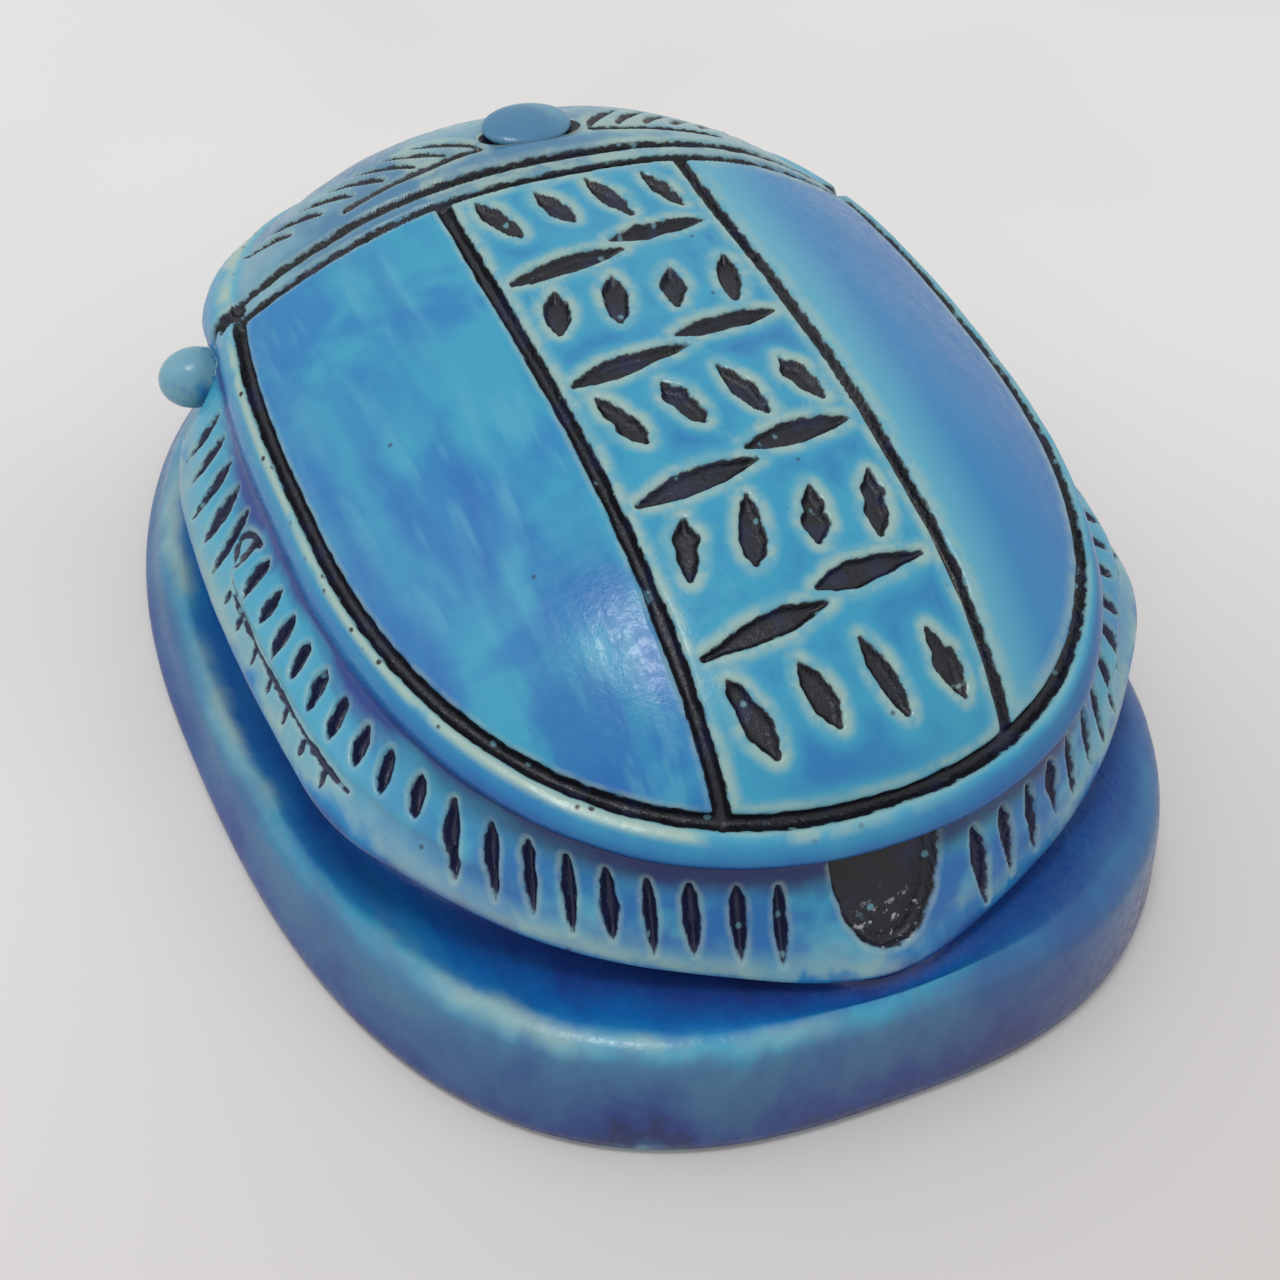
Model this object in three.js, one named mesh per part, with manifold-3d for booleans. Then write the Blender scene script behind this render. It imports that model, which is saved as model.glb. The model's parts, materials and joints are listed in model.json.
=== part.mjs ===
// Scarab amulet: a beetle carved in one piece with its oval plinth.
// Millimetres, +Z up, +Y towards the beetle's head, +X its right side.
// The origin is the middle of the flat underside.
import * as THREE from 'three';
import { ParametricGeometry } from 'three/addons/geometries/ParametricGeometry.js';
import { mergeVertices } from 'three/addons/utils/BufferGeometryUtils.js';
import Module from 'manifold-3d';

// Plinth: an egg-shaped slab whose top dishes in under the legs
const PLINTH_REAR = 42.4; // widest place to the rear end
const PLINTH_FRONT = 41.4; // widest place to the front end
const PLINTH_WIDTH = 64.8;
const PLINTH_REAR_FULLNESS = 2.71;
const PLINTH_FRONT_FULLNESS = 2.17;
const PLINTH_DRAFT = 0.75; // the side leans in this much up to the shoulder
const SHOULDER_HEIGHT = 3.6; // at the front
const SHOULDER_REAR_RISE = 6.4; // the shoulder climbs this much to the rear
const SHOULDER_ROUNDING = 1.8;
const EDGE_ROUNDING = 0.8; // at the underside
const DISH_WIDTH = 5; // shoulder to the lowest line of the dish
const DISH_DEPTH = 0.7;
const TAIL_DISH_WIDTH = 1.85; // behind the tail, where the legs come nearly to the shoulder

// Beetle: the groove round its wing cases and the height of its back
const BACK_WIDTH = 49.2;
const BACK_REAR = 29.8;
const BACK_FRONT = 36;
const BACK_CENTRE_Y = -3.4;
const BACK_REAR_FULLNESS = 2.23;
const BACK_FRONT_FULLNESS = 2.8;
const RIM_HEIGHT = 22.1; // the outline groove above the table, at mid-length
const CROWN_RISE = 8.2; // the spine above the outline groove
const CROWN_FULLNESS = 2.42; // across the back
const FRONT_DROP = 19.5; // the dome's fall from the thorax groove to the neck

// Carved lines
const GROOVE_WIDTH = 1.3;
const GROOVE_DEPTH = 0.8;
const PANEL_WIDTH = 19.2; // between the two grooves along the back, at the rear
const PANEL_FRONT_WIDTH = 17.4;
const WING_GROOVE_Y = 16.4;
const THORAX_GROOVE_Y = 18.2;
const PATH_POINTS = 11; // along a groove's path

// Moulding round the back, and the legs below it
const RIM_BULGE = 2.1; // at the rear
const RIM_SIDE_BULGE = 1.45;
const RIM_TUCK = 1.3; // the crease under the moulding, out from the groove
const RIM_DROP = 3.4; // groove to the crease under the moulding
const THORAX_BULGE = 2.7; // at the sides, behind the head
const NECK_BULGE = 0.9;
const NECK_START = 4; // the neck begins this far ahead of the thorax groove
const NECK_END = 2; // and is whole this far behind the end of the back
const LEG_WIDTH = 60; // over the outer lip of the legs
const LEG_REAR = 30.4;
const LEG_FRONT = 33;
const LEG_CENTRE_Y = -6.5;
const LEG_REAR_FULLNESS = 2.4;
const LEG_FRONT_FULLNESS = 3.4;
const LEG_LIP_HEIGHT = 13.6;
const LEG_LIP_REAR_HEIGHT = 10.2;
const LEG_LIP_FLAT = 4; // the lip starts to climb this far behind the legs' rear end
const LEG_UNDERCUT = 3.2;
const TAIL_UNDERCUT = 0.5;
const LEG_TAIL_REACH = 2; // the hind legs meet in a point behind the tail slot
const LEG_TAIL_TURN = 14; // degrees to each side of the tail that the point takes up
const LEG_WAIST = 1.36; // the hind legs' lip draws in between the point and the feet
const LEG_WAIST_TURN = 42; // degrees from the tail
const LEG_WAIST_SPREAD = 26;
const LEG_FOOT = 0.7; // the middle legs' feet stand out
const LEG_FOOT_TURN = 67;
const LEG_FOOT_SPREAD = 9.7;
const LEG_STEP = 0.7; // the hind leg stands this much proud of the middle leg
const HIND_LEG_START_Y = 2;
const MIDDLE_LEG_END_Y = -23;
const LEG_BAND_END_Y = 17.5;

// Leg hatching
const NOTCH_LENGTH = 4.6;
const NOTCH_WIDTH = 1.15;
const NOTCH_DEPTH = 0.8;
const NOTCH_PITCH = 2.4;

// Head, forelegs and knees
const KNEE_RADIUS = 1.75;
const KNEE_INSET = 5; // from the outer lip of the legs to the middle of the knee
const KNEE_RISE = 2; // above the lip
const FORELEG_RADIUS = 1.9;
const FORELEG_START_IN = 2.2; // its upper end, inwards from the middle of the knee
const FORELEG_START_DROP = 2.4; // and below it
const FORELEG_INSET = 10; // at the bend between knee and head
const FORELEG_BEND_Y = 7; // ahead of the knee
const FORELEG_BEND_DROP = 3.4; // below the lip
const FORELEG_END_INSET = 5.5; // its lower end lies this far behind the head's front edge
const FORELEG_END_OUT = 1; // beside the head plate
const FORELEG_END_RISE = 1.4; // above the plinth
const HEAD_WIDTH = 23;
const HEAD_FRONT_Y = 39.6;
const HEAD_BOW = 8; // the head's front edge curves back this far
const HEAD_THICKNESS = 7;
const NECK_HEIGHT = 9.4; // the thorax is tucked in down to here above the head plate
const HEAD_TEETH = 5;
const EYE_RADIUS = 2.7;

// Winged disc on the thorax, tail slot and the rows of strokes on the panel
const DISC_WIDTH = 6.4;
const DISC_Y = 22.4;
const DISC_RISE = 0.75;
const FEATHERS = 7;
const FEATHER_PITCH = 2.2;
const FEATHER_LENGTH = 4.6;
const FEATHER_WIDTH = 0.8;
const TAIL_SLOT_WIDTH = 7.4;
const TAIL_SLOT_DEPTH = 0.9;
const STROKE_DEPTH = 0.6;
const STROKE_WIDTH = 1.6;
const STROKE_LENGTH = 4.6; // of the slanted ones
const STROKES_IN_ROW = 4;
const STROKE_ROW_PITCH = 5.1;
const STROKE_REAR_MARGIN = 2; // plain panel behind the last row

// Facets
const SIDES = 60; // round the body
const BACK_RINGS = 8;
const SLIVER = 0.03; // facets thinner than this are merged into their neighbours

const GLAZE = new THREE.MeshStandardMaterial({ color: 0x2c84c4, roughness: 0.32, metalness: 0 });

const clamp01 = (value) => Math.min(1, Math.max(0, value));
const mix = (from, to, share) => from + (to - from) * share;
const hill = (centre, width, value) => Math.exp(-(((value - centre) / width) ** 2));
const ease = (from, to, value) => {
  const share = clamp01((value - from) / (to - from));
  return share * share * (3 - 2 * share);
};

const plinth = {
  centreY: (PLINTH_REAR - PLINTH_FRONT) / 2, halfWidth: PLINTH_WIDTH / 2,
  rear: PLINTH_REAR, front: PLINTH_FRONT,
  rearFullness: PLINTH_REAR_FULLNESS, frontFullness: PLINTH_FRONT_FULLNESS,
};
const back = {
  centreY: BACK_CENTRE_Y, halfWidth: BACK_WIDTH / 2,
  rear: BACK_REAR, front: BACK_FRONT,
  rearFullness: BACK_REAR_FULLNESS, frontFullness: BACK_FRONT_FULLNESS,
};
const legs = {
  centreY: LEG_CENTRE_Y, halfWidth: LEG_WIDTH / 2,
  rear: LEG_REAR, front: LEG_FRONT,
  rearFullness: LEG_REAR_FULLNESS, frontFullness: LEG_FRONT_FULLNESS,
};

// A point of an egg-shaped outline, grown outwards by a distance.
function eggPoint(egg, angle, grow = 0) {
  const across = Math.cos(angle);
  const along = Math.sin(angle);
  const half = (along > 0 ? egg.front : egg.rear) + grow;
  const fullness = along > 0 ? egg.frontFullness : egg.rearFullness;
  const radius = (Math.abs(across / (egg.halfWidth + grow)) ** fullness
    + Math.abs(along / half) ** fullness) ** (-1 / fullness);
  return { x: radius * across, y: egg.centreY + radius * along };
}

// Half the width of an egg-shaped outline at a place along the beetle.
function eggHalfWidth(egg, y) {
  const along = y - egg.centreY;
  const half = along > 0 ? egg.front : egg.rear;
  const fullness = along > 0 ? egg.frontFullness : egg.rearFullness;
  return egg.halfWidth * Math.max(0, 1 - Math.abs(along / half) ** fullness) ** (1 / fullness);
}

// Height of the outline groove: a flat arch that falls away at the neck.
function rimHeight(y) {
  const station = (y - BACK_CENTRE_Y) / BACK_FRONT;
  const neck = Math.max(0, (station - 0.55) / 0.45);
  return RIM_HEIGHT + 1.2 * station - 1.1 * station ** 2 - 3 * neck ** 2;
}

// Height of the spine: an arch over the wing cases, then a fall over the thorax.
function spineHeight(y) {
  const hindEnd = BACK_CENTRE_Y - BACK_REAR;
  const crestY = BACK_CENTRE_Y - 3;
  const archShare = clamp01((crestY - y) / (crestY - hindEnd));
  const arch = rimHeight(y) + CROWN_RISE * (1 - archShare ** 2.2) ** 0.72;
  const fallStart = THORAX_GROOVE_Y - 0.6;
  const fallShare = clamp01((y - fallStart) / (BACK_CENTRE_Y + BACK_FRONT + 2 - fallStart));
  const crest = rimHeight(fallStart) + CROWN_RISE - 0.8;
  const fall = crest - FRONT_DROP * (1 - (1 - fallShare ** 2.16) ** 0.46);
  return mix(arch - 0.8 * ease(crestY, fallStart, y), fall, ease(fallStart - 0.5, fallStart + 0.5, y));
}

// Height of the back over any point inside the outline groove.
function backHeight(x, y) {
  const half = Math.max(eggHalfWidth(back, y), 0.01);
  const across = clamp01(Math.abs(x) / half);
  const rim = rimHeight(y);
  return rim + Math.max(0, spineHeight(y) - rim) * (1 - across ** CROWN_FULLNESS);
}

const shoulderHeight = (y) => {
  const station = y / PLINTH_REAR;
  return SHOULDER_HEIGHT + SHOULDER_REAR_RISE / 2 * (Math.sqrt(station ** 2 + 0.12) - station);
};

const lipHeight = (y) => mix(LEG_LIP_REAR_HEIGHT, LEG_LIP_HEIGHT,
  ease(LEG_CENTRE_Y - LEG_REAR - LEG_LIP_FLAT, LEG_CENTRE_Y - LEG_REAR / 3, y));

// The angle from the tail, in degrees.
const tailTurn = (angle) => THREE.MathUtils.radToDeg(Math.acos(-Math.sin(angle)));

// How far the legs' lip stands outside its egg.
const lipGrow = (turn) => LEG_TAIL_REACH * hill(0, LEG_TAIL_TURN, turn)
  - LEG_WAIST * hill(LEG_WAIST_TURN, LEG_WAIST_SPREAD, turn)
  + LEG_FOOT * hill(LEG_FOOT_TURN, LEG_FOOT_SPREAD, turn);

// The body's section at an angle: points from the outline groove down to the underside.
function sectionAt(angle) {
  const rim = eggPoint(back, angle);
  const top = rimHeight(rim.y);
  const thorax = ease(LEG_BAND_END_Y - 2, THORAX_GROOVE_Y + 2, rim.y);
  const groove = 1 - ease(WING_GROOVE_Y - 1, WING_GROOVE_Y + 1, rim.y);
  const neck = ease(THORAX_GROOVE_Y + NECK_START, BACK_CENTRE_Y + BACK_FRONT - NECK_END, rim.y);
  const station = (rim.y - BACK_CENTRE_Y) / BACK_REAR;
  const rimBulge = mix(RIM_BULGE, RIM_SIDE_BULGE, ease(-1, -0.2, station));
  const bulge = mix(mix(rimBulge, THORAX_BULGE, thorax), NECK_BULGE, neck);
  const tuck = mix(mix(RIM_TUCK, THORAX_BULGE * 0.62, thorax), NECK_BULGE * 0.62, neck);
  const turn = tailTurn(angle);
  const tail = hill(0, LEG_TAIL_TURN, turn);
  const drop = RIM_DROP * mix(1 + 0.25 * station, 2, thorax);
  const legPart = 1 - thorax;
  const hind = 1 - ease(HIND_LEG_START_Y - 0.6, HIND_LEG_START_Y + 0.6, rim.y);
  const middle = ease(MIDDLE_LEG_END_Y - 3, MIDDLE_LEG_END_Y + 3, rim.y);
  const place = (egg, grow, z) => ({ ...eggPoint(egg, angle, grow), z });
  const between = (from, to, share, out = 0) => ({
    x: mix(from.x, to.x, share) + out * Math.cos(angle),
    y: mix(from.y, to.y, share) + out * Math.sin(angle),
    z: mix(from.z, to.z, share) + out / 2,
  });
  const crease = place(back, tuck, top - drop);
  const bandTop = place(back, tuck * 1.2, top - drop - 0.7);
  const front = place(back, -4, NECK_HEIGHT);
  const lipSpot = eggPoint(legs, angle, lipGrow(turn));
  const lip = between(front, { ...lipSpot, z: lipHeight(lipSpot.y) }, legPart);
  const undercut = lipGrow(turn) * (1 - thorax) - mix(LEG_UNDERCUT, TAIL_UNDERCUT, tail);
  const recess = { ...between(place(legs, undercut, 0), front, thorax), z: 0 };
  const shoulder = place(plinth, -PLINTH_DRAFT - SHOULDER_ROUNDING, 0);
  const low = place(plinth, -PLINTH_DRAFT - mix(DISH_WIDTH, TAIL_DISH_WIDTH, tail), 0);
  shoulder.z = shoulderHeight(shoulder.y);
  low.z = shoulder.z - DISH_DEPTH * mix(1, 0.4, tail);
  recess.z = mix(low.z, lip.z, 0.35);
  const step = LEG_STEP * hind * middle * legPart;
  return [
    place(back, -GROOVE_WIDTH / 2, backHeight(...Object.values(eggPoint(back, angle, -GROOVE_WIDTH / 2)))),
    place(back, 0, top - GROOVE_DEPTH * groove),
    place(back, GROOVE_WIDTH / 2, top - 0.15),
    place(back, bulge * 0.72, top - drop * 0.2),
    place(back, bulge, top - drop * 0.52),
    place(back, bulge * 0.92, top - drop * 0.8),
    crease,
    bandTop,
    between(bandTop, lip, 0.52, step),
    between(bandTop, lip, 0.62, 0),
    lip,
    between(lip, { ...lip, z: mix(lip.z, recess.z, 0.18) }, 1, -0.3),
    recess,
    between(recess, low, 0.5, -0.3),
    low,
    between(low, shoulder, 0.75, -0.1),
    shoulder,
    place(plinth, -PLINTH_DRAFT - SHOULDER_ROUNDING * 0.25, shoulder.z - SHOULDER_ROUNDING * 0.35),
    place(plinth, -PLINTH_DRAFT, shoulder.z - SHOULDER_ROUNDING * 1.2),
    place(plinth, 0, EDGE_ROUNDING),
    place(plinth, -EDGE_ROUNDING, 0),
  ];
}

const wasm = await Module();
wasm.setup();

// A closed geometry as a solid that can be cut and joined.
function solid(geometry) {
  const bare = geometry.index ? geometry.toNonIndexed() : geometry.clone();
  bare.deleteAttribute('normal');
  bare.deleteAttribute('uv');
  const merged = mergeVertices(bare, 1e-4);
  const corners = merged.index.array;
  const kept = [];
  for (let i = 0; i < corners.length; i += 3) {
    const [a, b, c] = [corners[i], corners[i + 1], corners[i + 2]];
    if (a !== b && b !== c && c !== a) kept.push(a, b, c);
  }
  return new wasm.Manifold(new wasm.Mesh({
    numProp: 3,
    vertProperties: Float32Array.from(merged.attributes.position.array),
    triVerts: Uint32Array.from(kept),
  }));
}

// The plinth, legs and back as one surface, ring by ring from the crown to the underside.
function bodySolid() {
  const sections = Array.from({ length: SIDES }, (_, side) => sectionAt((side / SIDES) * 2 * Math.PI));
  const levels = sections[0].length;
  const rings = BACK_RINGS + levels;
  const surface = (around, down, target) => {
    const side = (SIDES - Math.round(around * SIDES)) % SIDES;
    const ring = Math.round(down * rings);
    if (ring === rings) {
      target.set(0, 0, 0);
    } else if (ring < BACK_RINGS) {
      const edge = eggPoint(back, (side / SIDES) * 2 * Math.PI, -GROOVE_WIDTH / 2);
      const share = Math.sin((ring / BACK_RINGS) * (Math.PI / 2)) ** 1.2;
      const y = mix(BACK_CENTRE_Y, edge.y, share);
      target.set(edge.x * share, y, backHeight(edge.x * share, y));
    } else {
      const { x, y, z } = sections[side][ring - BACK_RINGS];
      target.set(x, y, z);
    }
  };
  return solid(new ParametricGeometry(surface, SIDES, rings));
}

// The beetle's surface at an angle, part of the way down the leg band.
function bandSpot(angle, share) {
  const section = sectionAt(angle);
  const [top, lip] = [section[7], section[10]];
  const from = new THREE.Vector3(top.x, top.y, top.z);
  const down = new THREE.Vector3(lip.x, lip.y, lip.z).sub(from);
  const length = down.length();
  down.normalize();
  return { spot: from.addScaledVector(down, share * length), down, length };
}

// A lens-shaped cutter that lies along one direction and bites along another.
function lens(spot, along, inwards, length, width, depth) {
  const geometry = new THREE.OctahedronGeometry(1);
  const side = new THREE.Vector3().crossVectors(inwards, along).normalize();
  const bite = new THREE.Vector3().crossVectors(along, side).normalize();
  const frame = new THREE.Matrix4().makeBasis(
    along.clone().multiplyScalar(length / 2), side.multiplyScalar(width / 2), bite.multiplyScalar(depth));
  geometry.applyMatrix4(frame.setPosition(spot));
  return solid(geometry);
}

// A bar along a path, which is a groove's cutter where it has four sides.
function bar(points, width, depth, steps, sides = 4) {
  const section = new THREE.Shape();
  for (let i = 0; i < sides; i += 1) {
    const turn = (i / sides) * 2 * Math.PI;
    section[i ? 'lineTo' : 'moveTo'](depth * Math.cos(turn), (width / 2) * Math.sin(turn));
  }
  const path = points.length > 2 ? new THREE.CatmullRomCurve3(points) : new THREE.LineCurve3(...points);
  return solid(new THREE.ExtrudeGeometry(section, { steps, extrudePath: path }));
}

const onBack = (x, y) => new THREE.Vector3(x, y, backHeight(x, y));

// Half the panel's width at a place along the back.
const panelHalf = (y) => mix(PANEL_WIDTH, PANEL_FRONT_WIDTH,
  (y - BACK_CENTRE_Y + BACK_REAR) / (WING_GROOVE_Y - BACK_CENTRE_Y + BACK_REAR)) / 2;

// Hatching down both sides, with a gap at the tail slot.
function legNotches() {
  const cutters = [];
  for (const side of [-1, 1]) {
    let travelled = 0;
    let previous = null;
    for (let angle = -Math.PI / 2; angle < Math.PI / 2; angle += 0.01) {
      const turn = side > 0 ? angle : Math.PI - angle;
      const band = bandSpot(turn, 0.5);
      travelled += previous ? band.spot.distanceTo(previous) : 0;
      previous = band.spot;
      if (band.spot.y > LEG_BAND_END_Y - 1.5) break;
      if (travelled < NOTCH_PITCH || Math.abs(band.spot.x) < TAIL_SLOT_WIDTH * 0.9) continue;
      travelled = 0;
      const twoLegs = band.spot.y > MIDDLE_LEG_END_Y && band.spot.y < HIND_LEG_START_Y;
      const upper = bandSpot(turn, twoLegs ? 0.3 : 0.45);
      const inwards = new THREE.Vector3(-Math.cos(turn), -Math.sin(turn), -0.6);
      const reach = Math.min(NOTCH_LENGTH, band.length * (twoLegs ? 0.5 : 0.7));
      cutters.push(lens(upper.spot, upper.down, inwards, reach, NOTCH_WIDTH, NOTCH_DEPTH));
      if (twoLegs) {
        const lower = bandSpot(turn, 0.76);
        cutters.push(lens(lower.spot, lower.down, inwards, reach * 0.45, NOTCH_WIDTH * 0.8, NOTCH_DEPTH));
      }
    }
  }
  return cutters;
}

// Grooves along and across the back.
function backGrooves() {
  const cutters = [];
  const hindY = (x) => {
    let y = BACK_CENTRE_Y - BACK_REAR;
    while (eggHalfWidth(back, y) < Math.abs(x)) y += 0.1;
    return y;
  };
  for (const side of [-1, 1]) {
    const from = hindY(PANEL_WIDTH / 2) + 0.4;
    const points = Array.from({ length: PATH_POINTS }, (_, i) => {
      const y = mix(from, WING_GROOVE_Y, i / (PATH_POINTS - 1));
      return onBack(side * panelHalf(y), y);
    });
    cutters.push(bar(points, GROOVE_WIDTH, GROOVE_DEPTH, 9));
  }
  for (const y of [WING_GROOVE_Y, THORAX_GROOVE_Y]) {
    const half = eggHalfWidth(back, y) + (y === THORAX_GROOVE_Y ? 0.8 : -0.6);
    const points = Array.from({ length: PATH_POINTS }, (_, i) => (
      onBack(mix(-half, half, i / (PATH_POINTS - 1)), y)));
    cutters.push(bar(points, GROOVE_DEPTH * 2, GROOVE_WIDTH / 2, 12));
  }
  return cutters;
}

// One stroke on the panel, turned from the x axis.
function stroke(x, y, length, turn, width) {
  const reach = new THREE.Vector2(Math.cos(turn), Math.sin(turn)).multiplyScalar(length / 2);
  const [from, to] = [-1, 1].map((t) => onBack(x + reach.x * t, y + reach.y * t));
  const down = new THREE.Vector3(0, 0, -1);
  return lens(onBack(x, y), to.sub(from).normalize(), down, length, width, STROKE_DEPTH);
}

// Rows of plain strokes down the panel: short slanted ones and long level ones in turn.
function panelStrokes() {
  const cutters = [];
  const length = WING_GROOVE_Y - BACK_CENTRE_Y + BACK_REAR - STROKE_REAR_MARGIN;
  const rows = Math.floor(length / STROKE_ROW_PITCH);
  for (let row = 0; row < rows; row += 1) {
    const y = WING_GROOVE_Y - STROKE_ROW_PITCH * (row + 0.65);
    const half = panelHalf(y);
    const lean = row % 4 ? -1 : 1;
    if (row % 2) {
      cutters.push(stroke(-half * 0.4, y + 0.9 * lean, half * 0.9, 0.1, STROKE_WIDTH));
      cutters.push(stroke(half * 0.42, y - 0.9 * lean, half * 0.8, 0.1, STROKE_WIDTH));
    } else {
      for (let i = 0; i < STROKES_IN_ROW; i += 1) {
        const x = half * mix(-0.68, 0.68, i / (STROKES_IN_ROW - 1));
        const size = STROKE_LENGTH * (1 - 0.15 * ((i + row / 2) % 2));
        cutters.push(stroke(x, y, size, Math.PI / 2 + 0.3 * lean, STROKE_WIDTH));
      }
    }
  }
  return cutters;
}

// Wings of slanted feather strokes to each side of the disc.
function featherStrokes() {
  const cutters = [];
  for (const side of [-1, 1]) {
    for (let i = 0; i < FEATHERS; i += 1) {
      const x = side * (DISC_WIDTH / 2 + 1.1 + i * FEATHER_PITCH);
      const from = onBack(x, DISC_Y - 0.9);
      const to = onBack(x + side * FEATHER_LENGTH * 0.75, DISC_Y - 0.9 + FEATHER_LENGTH * 0.66);
      const along = to.clone().sub(from).normalize();
      const middle = from.clone().lerp(to, 0.5);
      const inwards = new THREE.Vector3(0, -0.4, -1);
      cutters.push(lens(middle, along, inwards, from.distanceTo(to), FEATHER_WIDTH, FEATHER_WIDTH * 0.75));
    }
    const inner = side * (DISC_WIDTH / 2 + 1);
    const outer = side * (DISC_WIDTH / 2 + FEATHERS * FEATHER_PITCH * 0.7);
    const points = [0, 0.5, 1].map((t) => onBack(mix(inner, outer, t), DISC_Y - 1.4 - t * 0.8));
    cutters.push(bar(points, 1, 0.5, 6));
  }
  return cutters;
}

// A slot under the rim at the rear, with a round lower end.
function tailSlot() {
  const upper = bandSpot(-Math.PI / 2, -0.05);
  const lower = bandSpot(-Math.PI / 2, 0.48);
  const outline = new THREE.Shape();
  const half = TAIL_SLOT_WIDTH / 2;
  const length = upper.spot.distanceTo(lower.spot);
  outline.moveTo(-half, 0);
  outline.lineTo(-half * 0.8, -length);
  outline.absarc(0, -length, half * 0.8, Math.PI, 2 * Math.PI, false);
  outline.lineTo(half, 0);
  const geometry = new THREE.ExtrudeGeometry(outline, { depth: 4, bevelEnabled: false, curveSegments: 8 });
  geometry.translate(0, 0, -TAIL_SLOT_DEPTH);
  const up = upper.spot.clone().sub(lower.spot).normalize();
  const across = new THREE.Vector3(1, 0, 0);
  const out = new THREE.Vector3().crossVectors(across, up);
  geometry.applyMatrix4(new THREE.Matrix4().makeBasis(across, up, out).setPosition(upper.spot));
  return solid(geometry);
}

function ball(radiusX, radiusY, radiusZ, spot, sides = 12) {
  const geometry = new THREE.SphereGeometry(1, sides, Math.round(sides * 0.6));
  geometry.scale(radiusX, radiusY, radiusZ);
  return solid(geometry.translate(spot.x, spot.y, spot.z));
}

// The plate in front of the thorax, with a toothed front edge and an eye to each side.
function headParts() {
  const base = shoulderHeight(HEAD_FRONT_Y) - 1;
  const neckY = BACK_CENTRE_Y + BACK_FRONT;
  const cheekY = HEAD_FRONT_Y - HEAD_BOW;
  const half = HEAD_WIDTH / 2;
  const plate = new THREE.Shape();
  plate.moveTo(-half, neckY - HEAD_WIDTH / 2);
  plate.lineTo(half, neckY - HEAD_WIDTH / 2);
  plate.lineTo(half, cheekY);
  for (let i = 0; i < HEAD_TEETH; i += 1) {
    const turn = mix(0.15, Math.PI - 0.15, (i + 0.5) / HEAD_TEETH);
    const root = mix(0.15, Math.PI - 0.15, (i + 1) / HEAD_TEETH);
    plate.lineTo(half * 0.92 * Math.cos(turn), cheekY + HEAD_BOW * Math.sin(turn));
    plate.lineTo(half * 0.82 * Math.cos(root), cheekY + (HEAD_BOW - 1.4) * Math.sin(root));
  }
  plate.lineTo(-half, cheekY);
  const slab = new THREE.ExtrudeGeometry(plate, { depth: HEAD_THICKNESS, bevelEnabled: false });
  const parts = [solid(slab.translate(0, 0, base))];
  parts.push(ball(half * 0.8, HEAD_BOW * 0.8, 2.6, new THREE.Vector3(0, cheekY, base + HEAD_THICKNESS)));
  for (const side of [-1, 1]) {
    const eye = new THREE.Vector3(side * half, cheekY, base + HEAD_THICKNESS * 0.9);
    parts.push(ball(EYE_RADIUS, EYE_RADIUS * 1.2, EYE_RADIUS * 0.9, eye));
  }
  return parts;
}

// A knee knob and a foreleg that bends forward to the head, on each side.
function foreParts() {
  const parts = [];
  for (const side of [-1, 1]) {
    const kneeX = side * (LEG_WIDTH / 2 - KNEE_INSET);
    const knee = new THREE.Vector3(kneeX, THORAX_GROOVE_Y + 1.4, LEG_LIP_HEIGHT + KNEE_RISE);
    parts.push(ball(KNEE_RADIUS * 1.45, KNEE_RADIUS * 1.2, KNEE_RADIUS * 1.2, knee));
    const bendX = side * (LEG_WIDTH / 2 - FORELEG_INSET);
    const points = [
      new THREE.Vector3(knee.x - side * FORELEG_START_IN, knee.y, knee.z - FORELEG_START_DROP),
      new THREE.Vector3(bendX, knee.y + FORELEG_BEND_Y, LEG_LIP_HEIGHT - FORELEG_BEND_DROP),
      new THREE.Vector3(side * (HEAD_WIDTH / 2 + FORELEG_END_OUT), HEAD_FRONT_Y - FORELEG_END_INSET,
        shoulderHeight(HEAD_FRONT_Y) + FORELEG_END_RISE),
    ];
    parts.push(bar(points, FORELEG_RADIUS * 2.6, FORELEG_RADIUS, 8, 8));
  }
  return parts;
}

function scarabGeometry() {
  let piece = bodySolid();
  for (const part of [...headParts(), ...foreParts()]) piece = piece.add(part);
  const disc = onBack(0, DISC_Y + 0.2);
  piece = piece.subtract(ball(DISC_WIDTH / 2 + 0.7, DISC_WIDTH * 0.36 + 0.7, DISC_RISE * 0.7, disc));
  piece = piece.add(ball(DISC_WIDTH / 2, DISC_WIDTH * 0.36, DISC_RISE, disc));
  const cutters = [
    ...backGrooves(), ...legNotches(), ...panelStrokes(), ...featherStrokes(), tailSlot(),
  ];
  piece = piece.setTolerance(SLIVER / 3);
  for (const cutter of cutters) piece = piece.subtract(cutter);
  const { vertProperties, triVerts } = piece.simplify(SLIVER).getMesh();
  const geometry = new THREE.BufferGeometry();
  geometry.setAttribute('position', new THREE.BufferAttribute(vertProperties, 3));
  geometry.setIndex(new THREE.BufferAttribute(triVerts, 1));
  geometry.computeVertexNormals();
  return geometry;
}

const scarab = new THREE.Mesh(scarabGeometry(), GLAZE);
scarab.name = 'scarab';

const amulet = new THREE.Group();
amulet.add(scarab);
export default amulet;
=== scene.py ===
"""A blue-glazed scarab amulet, carved in one piece with its oval plinth.

The beetle's form is worked out in millimetres by the classes below, carved with the grooves, hatching and
strokes that a hand tool left, and glazed. It is written to the scene in metres.
"""

import json
import logging
import math
from dataclasses import dataclass, field
from enum import Enum

import bmesh
import bpy
import numpy as np
from mathutils import Matrix, Vector, noise

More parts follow.
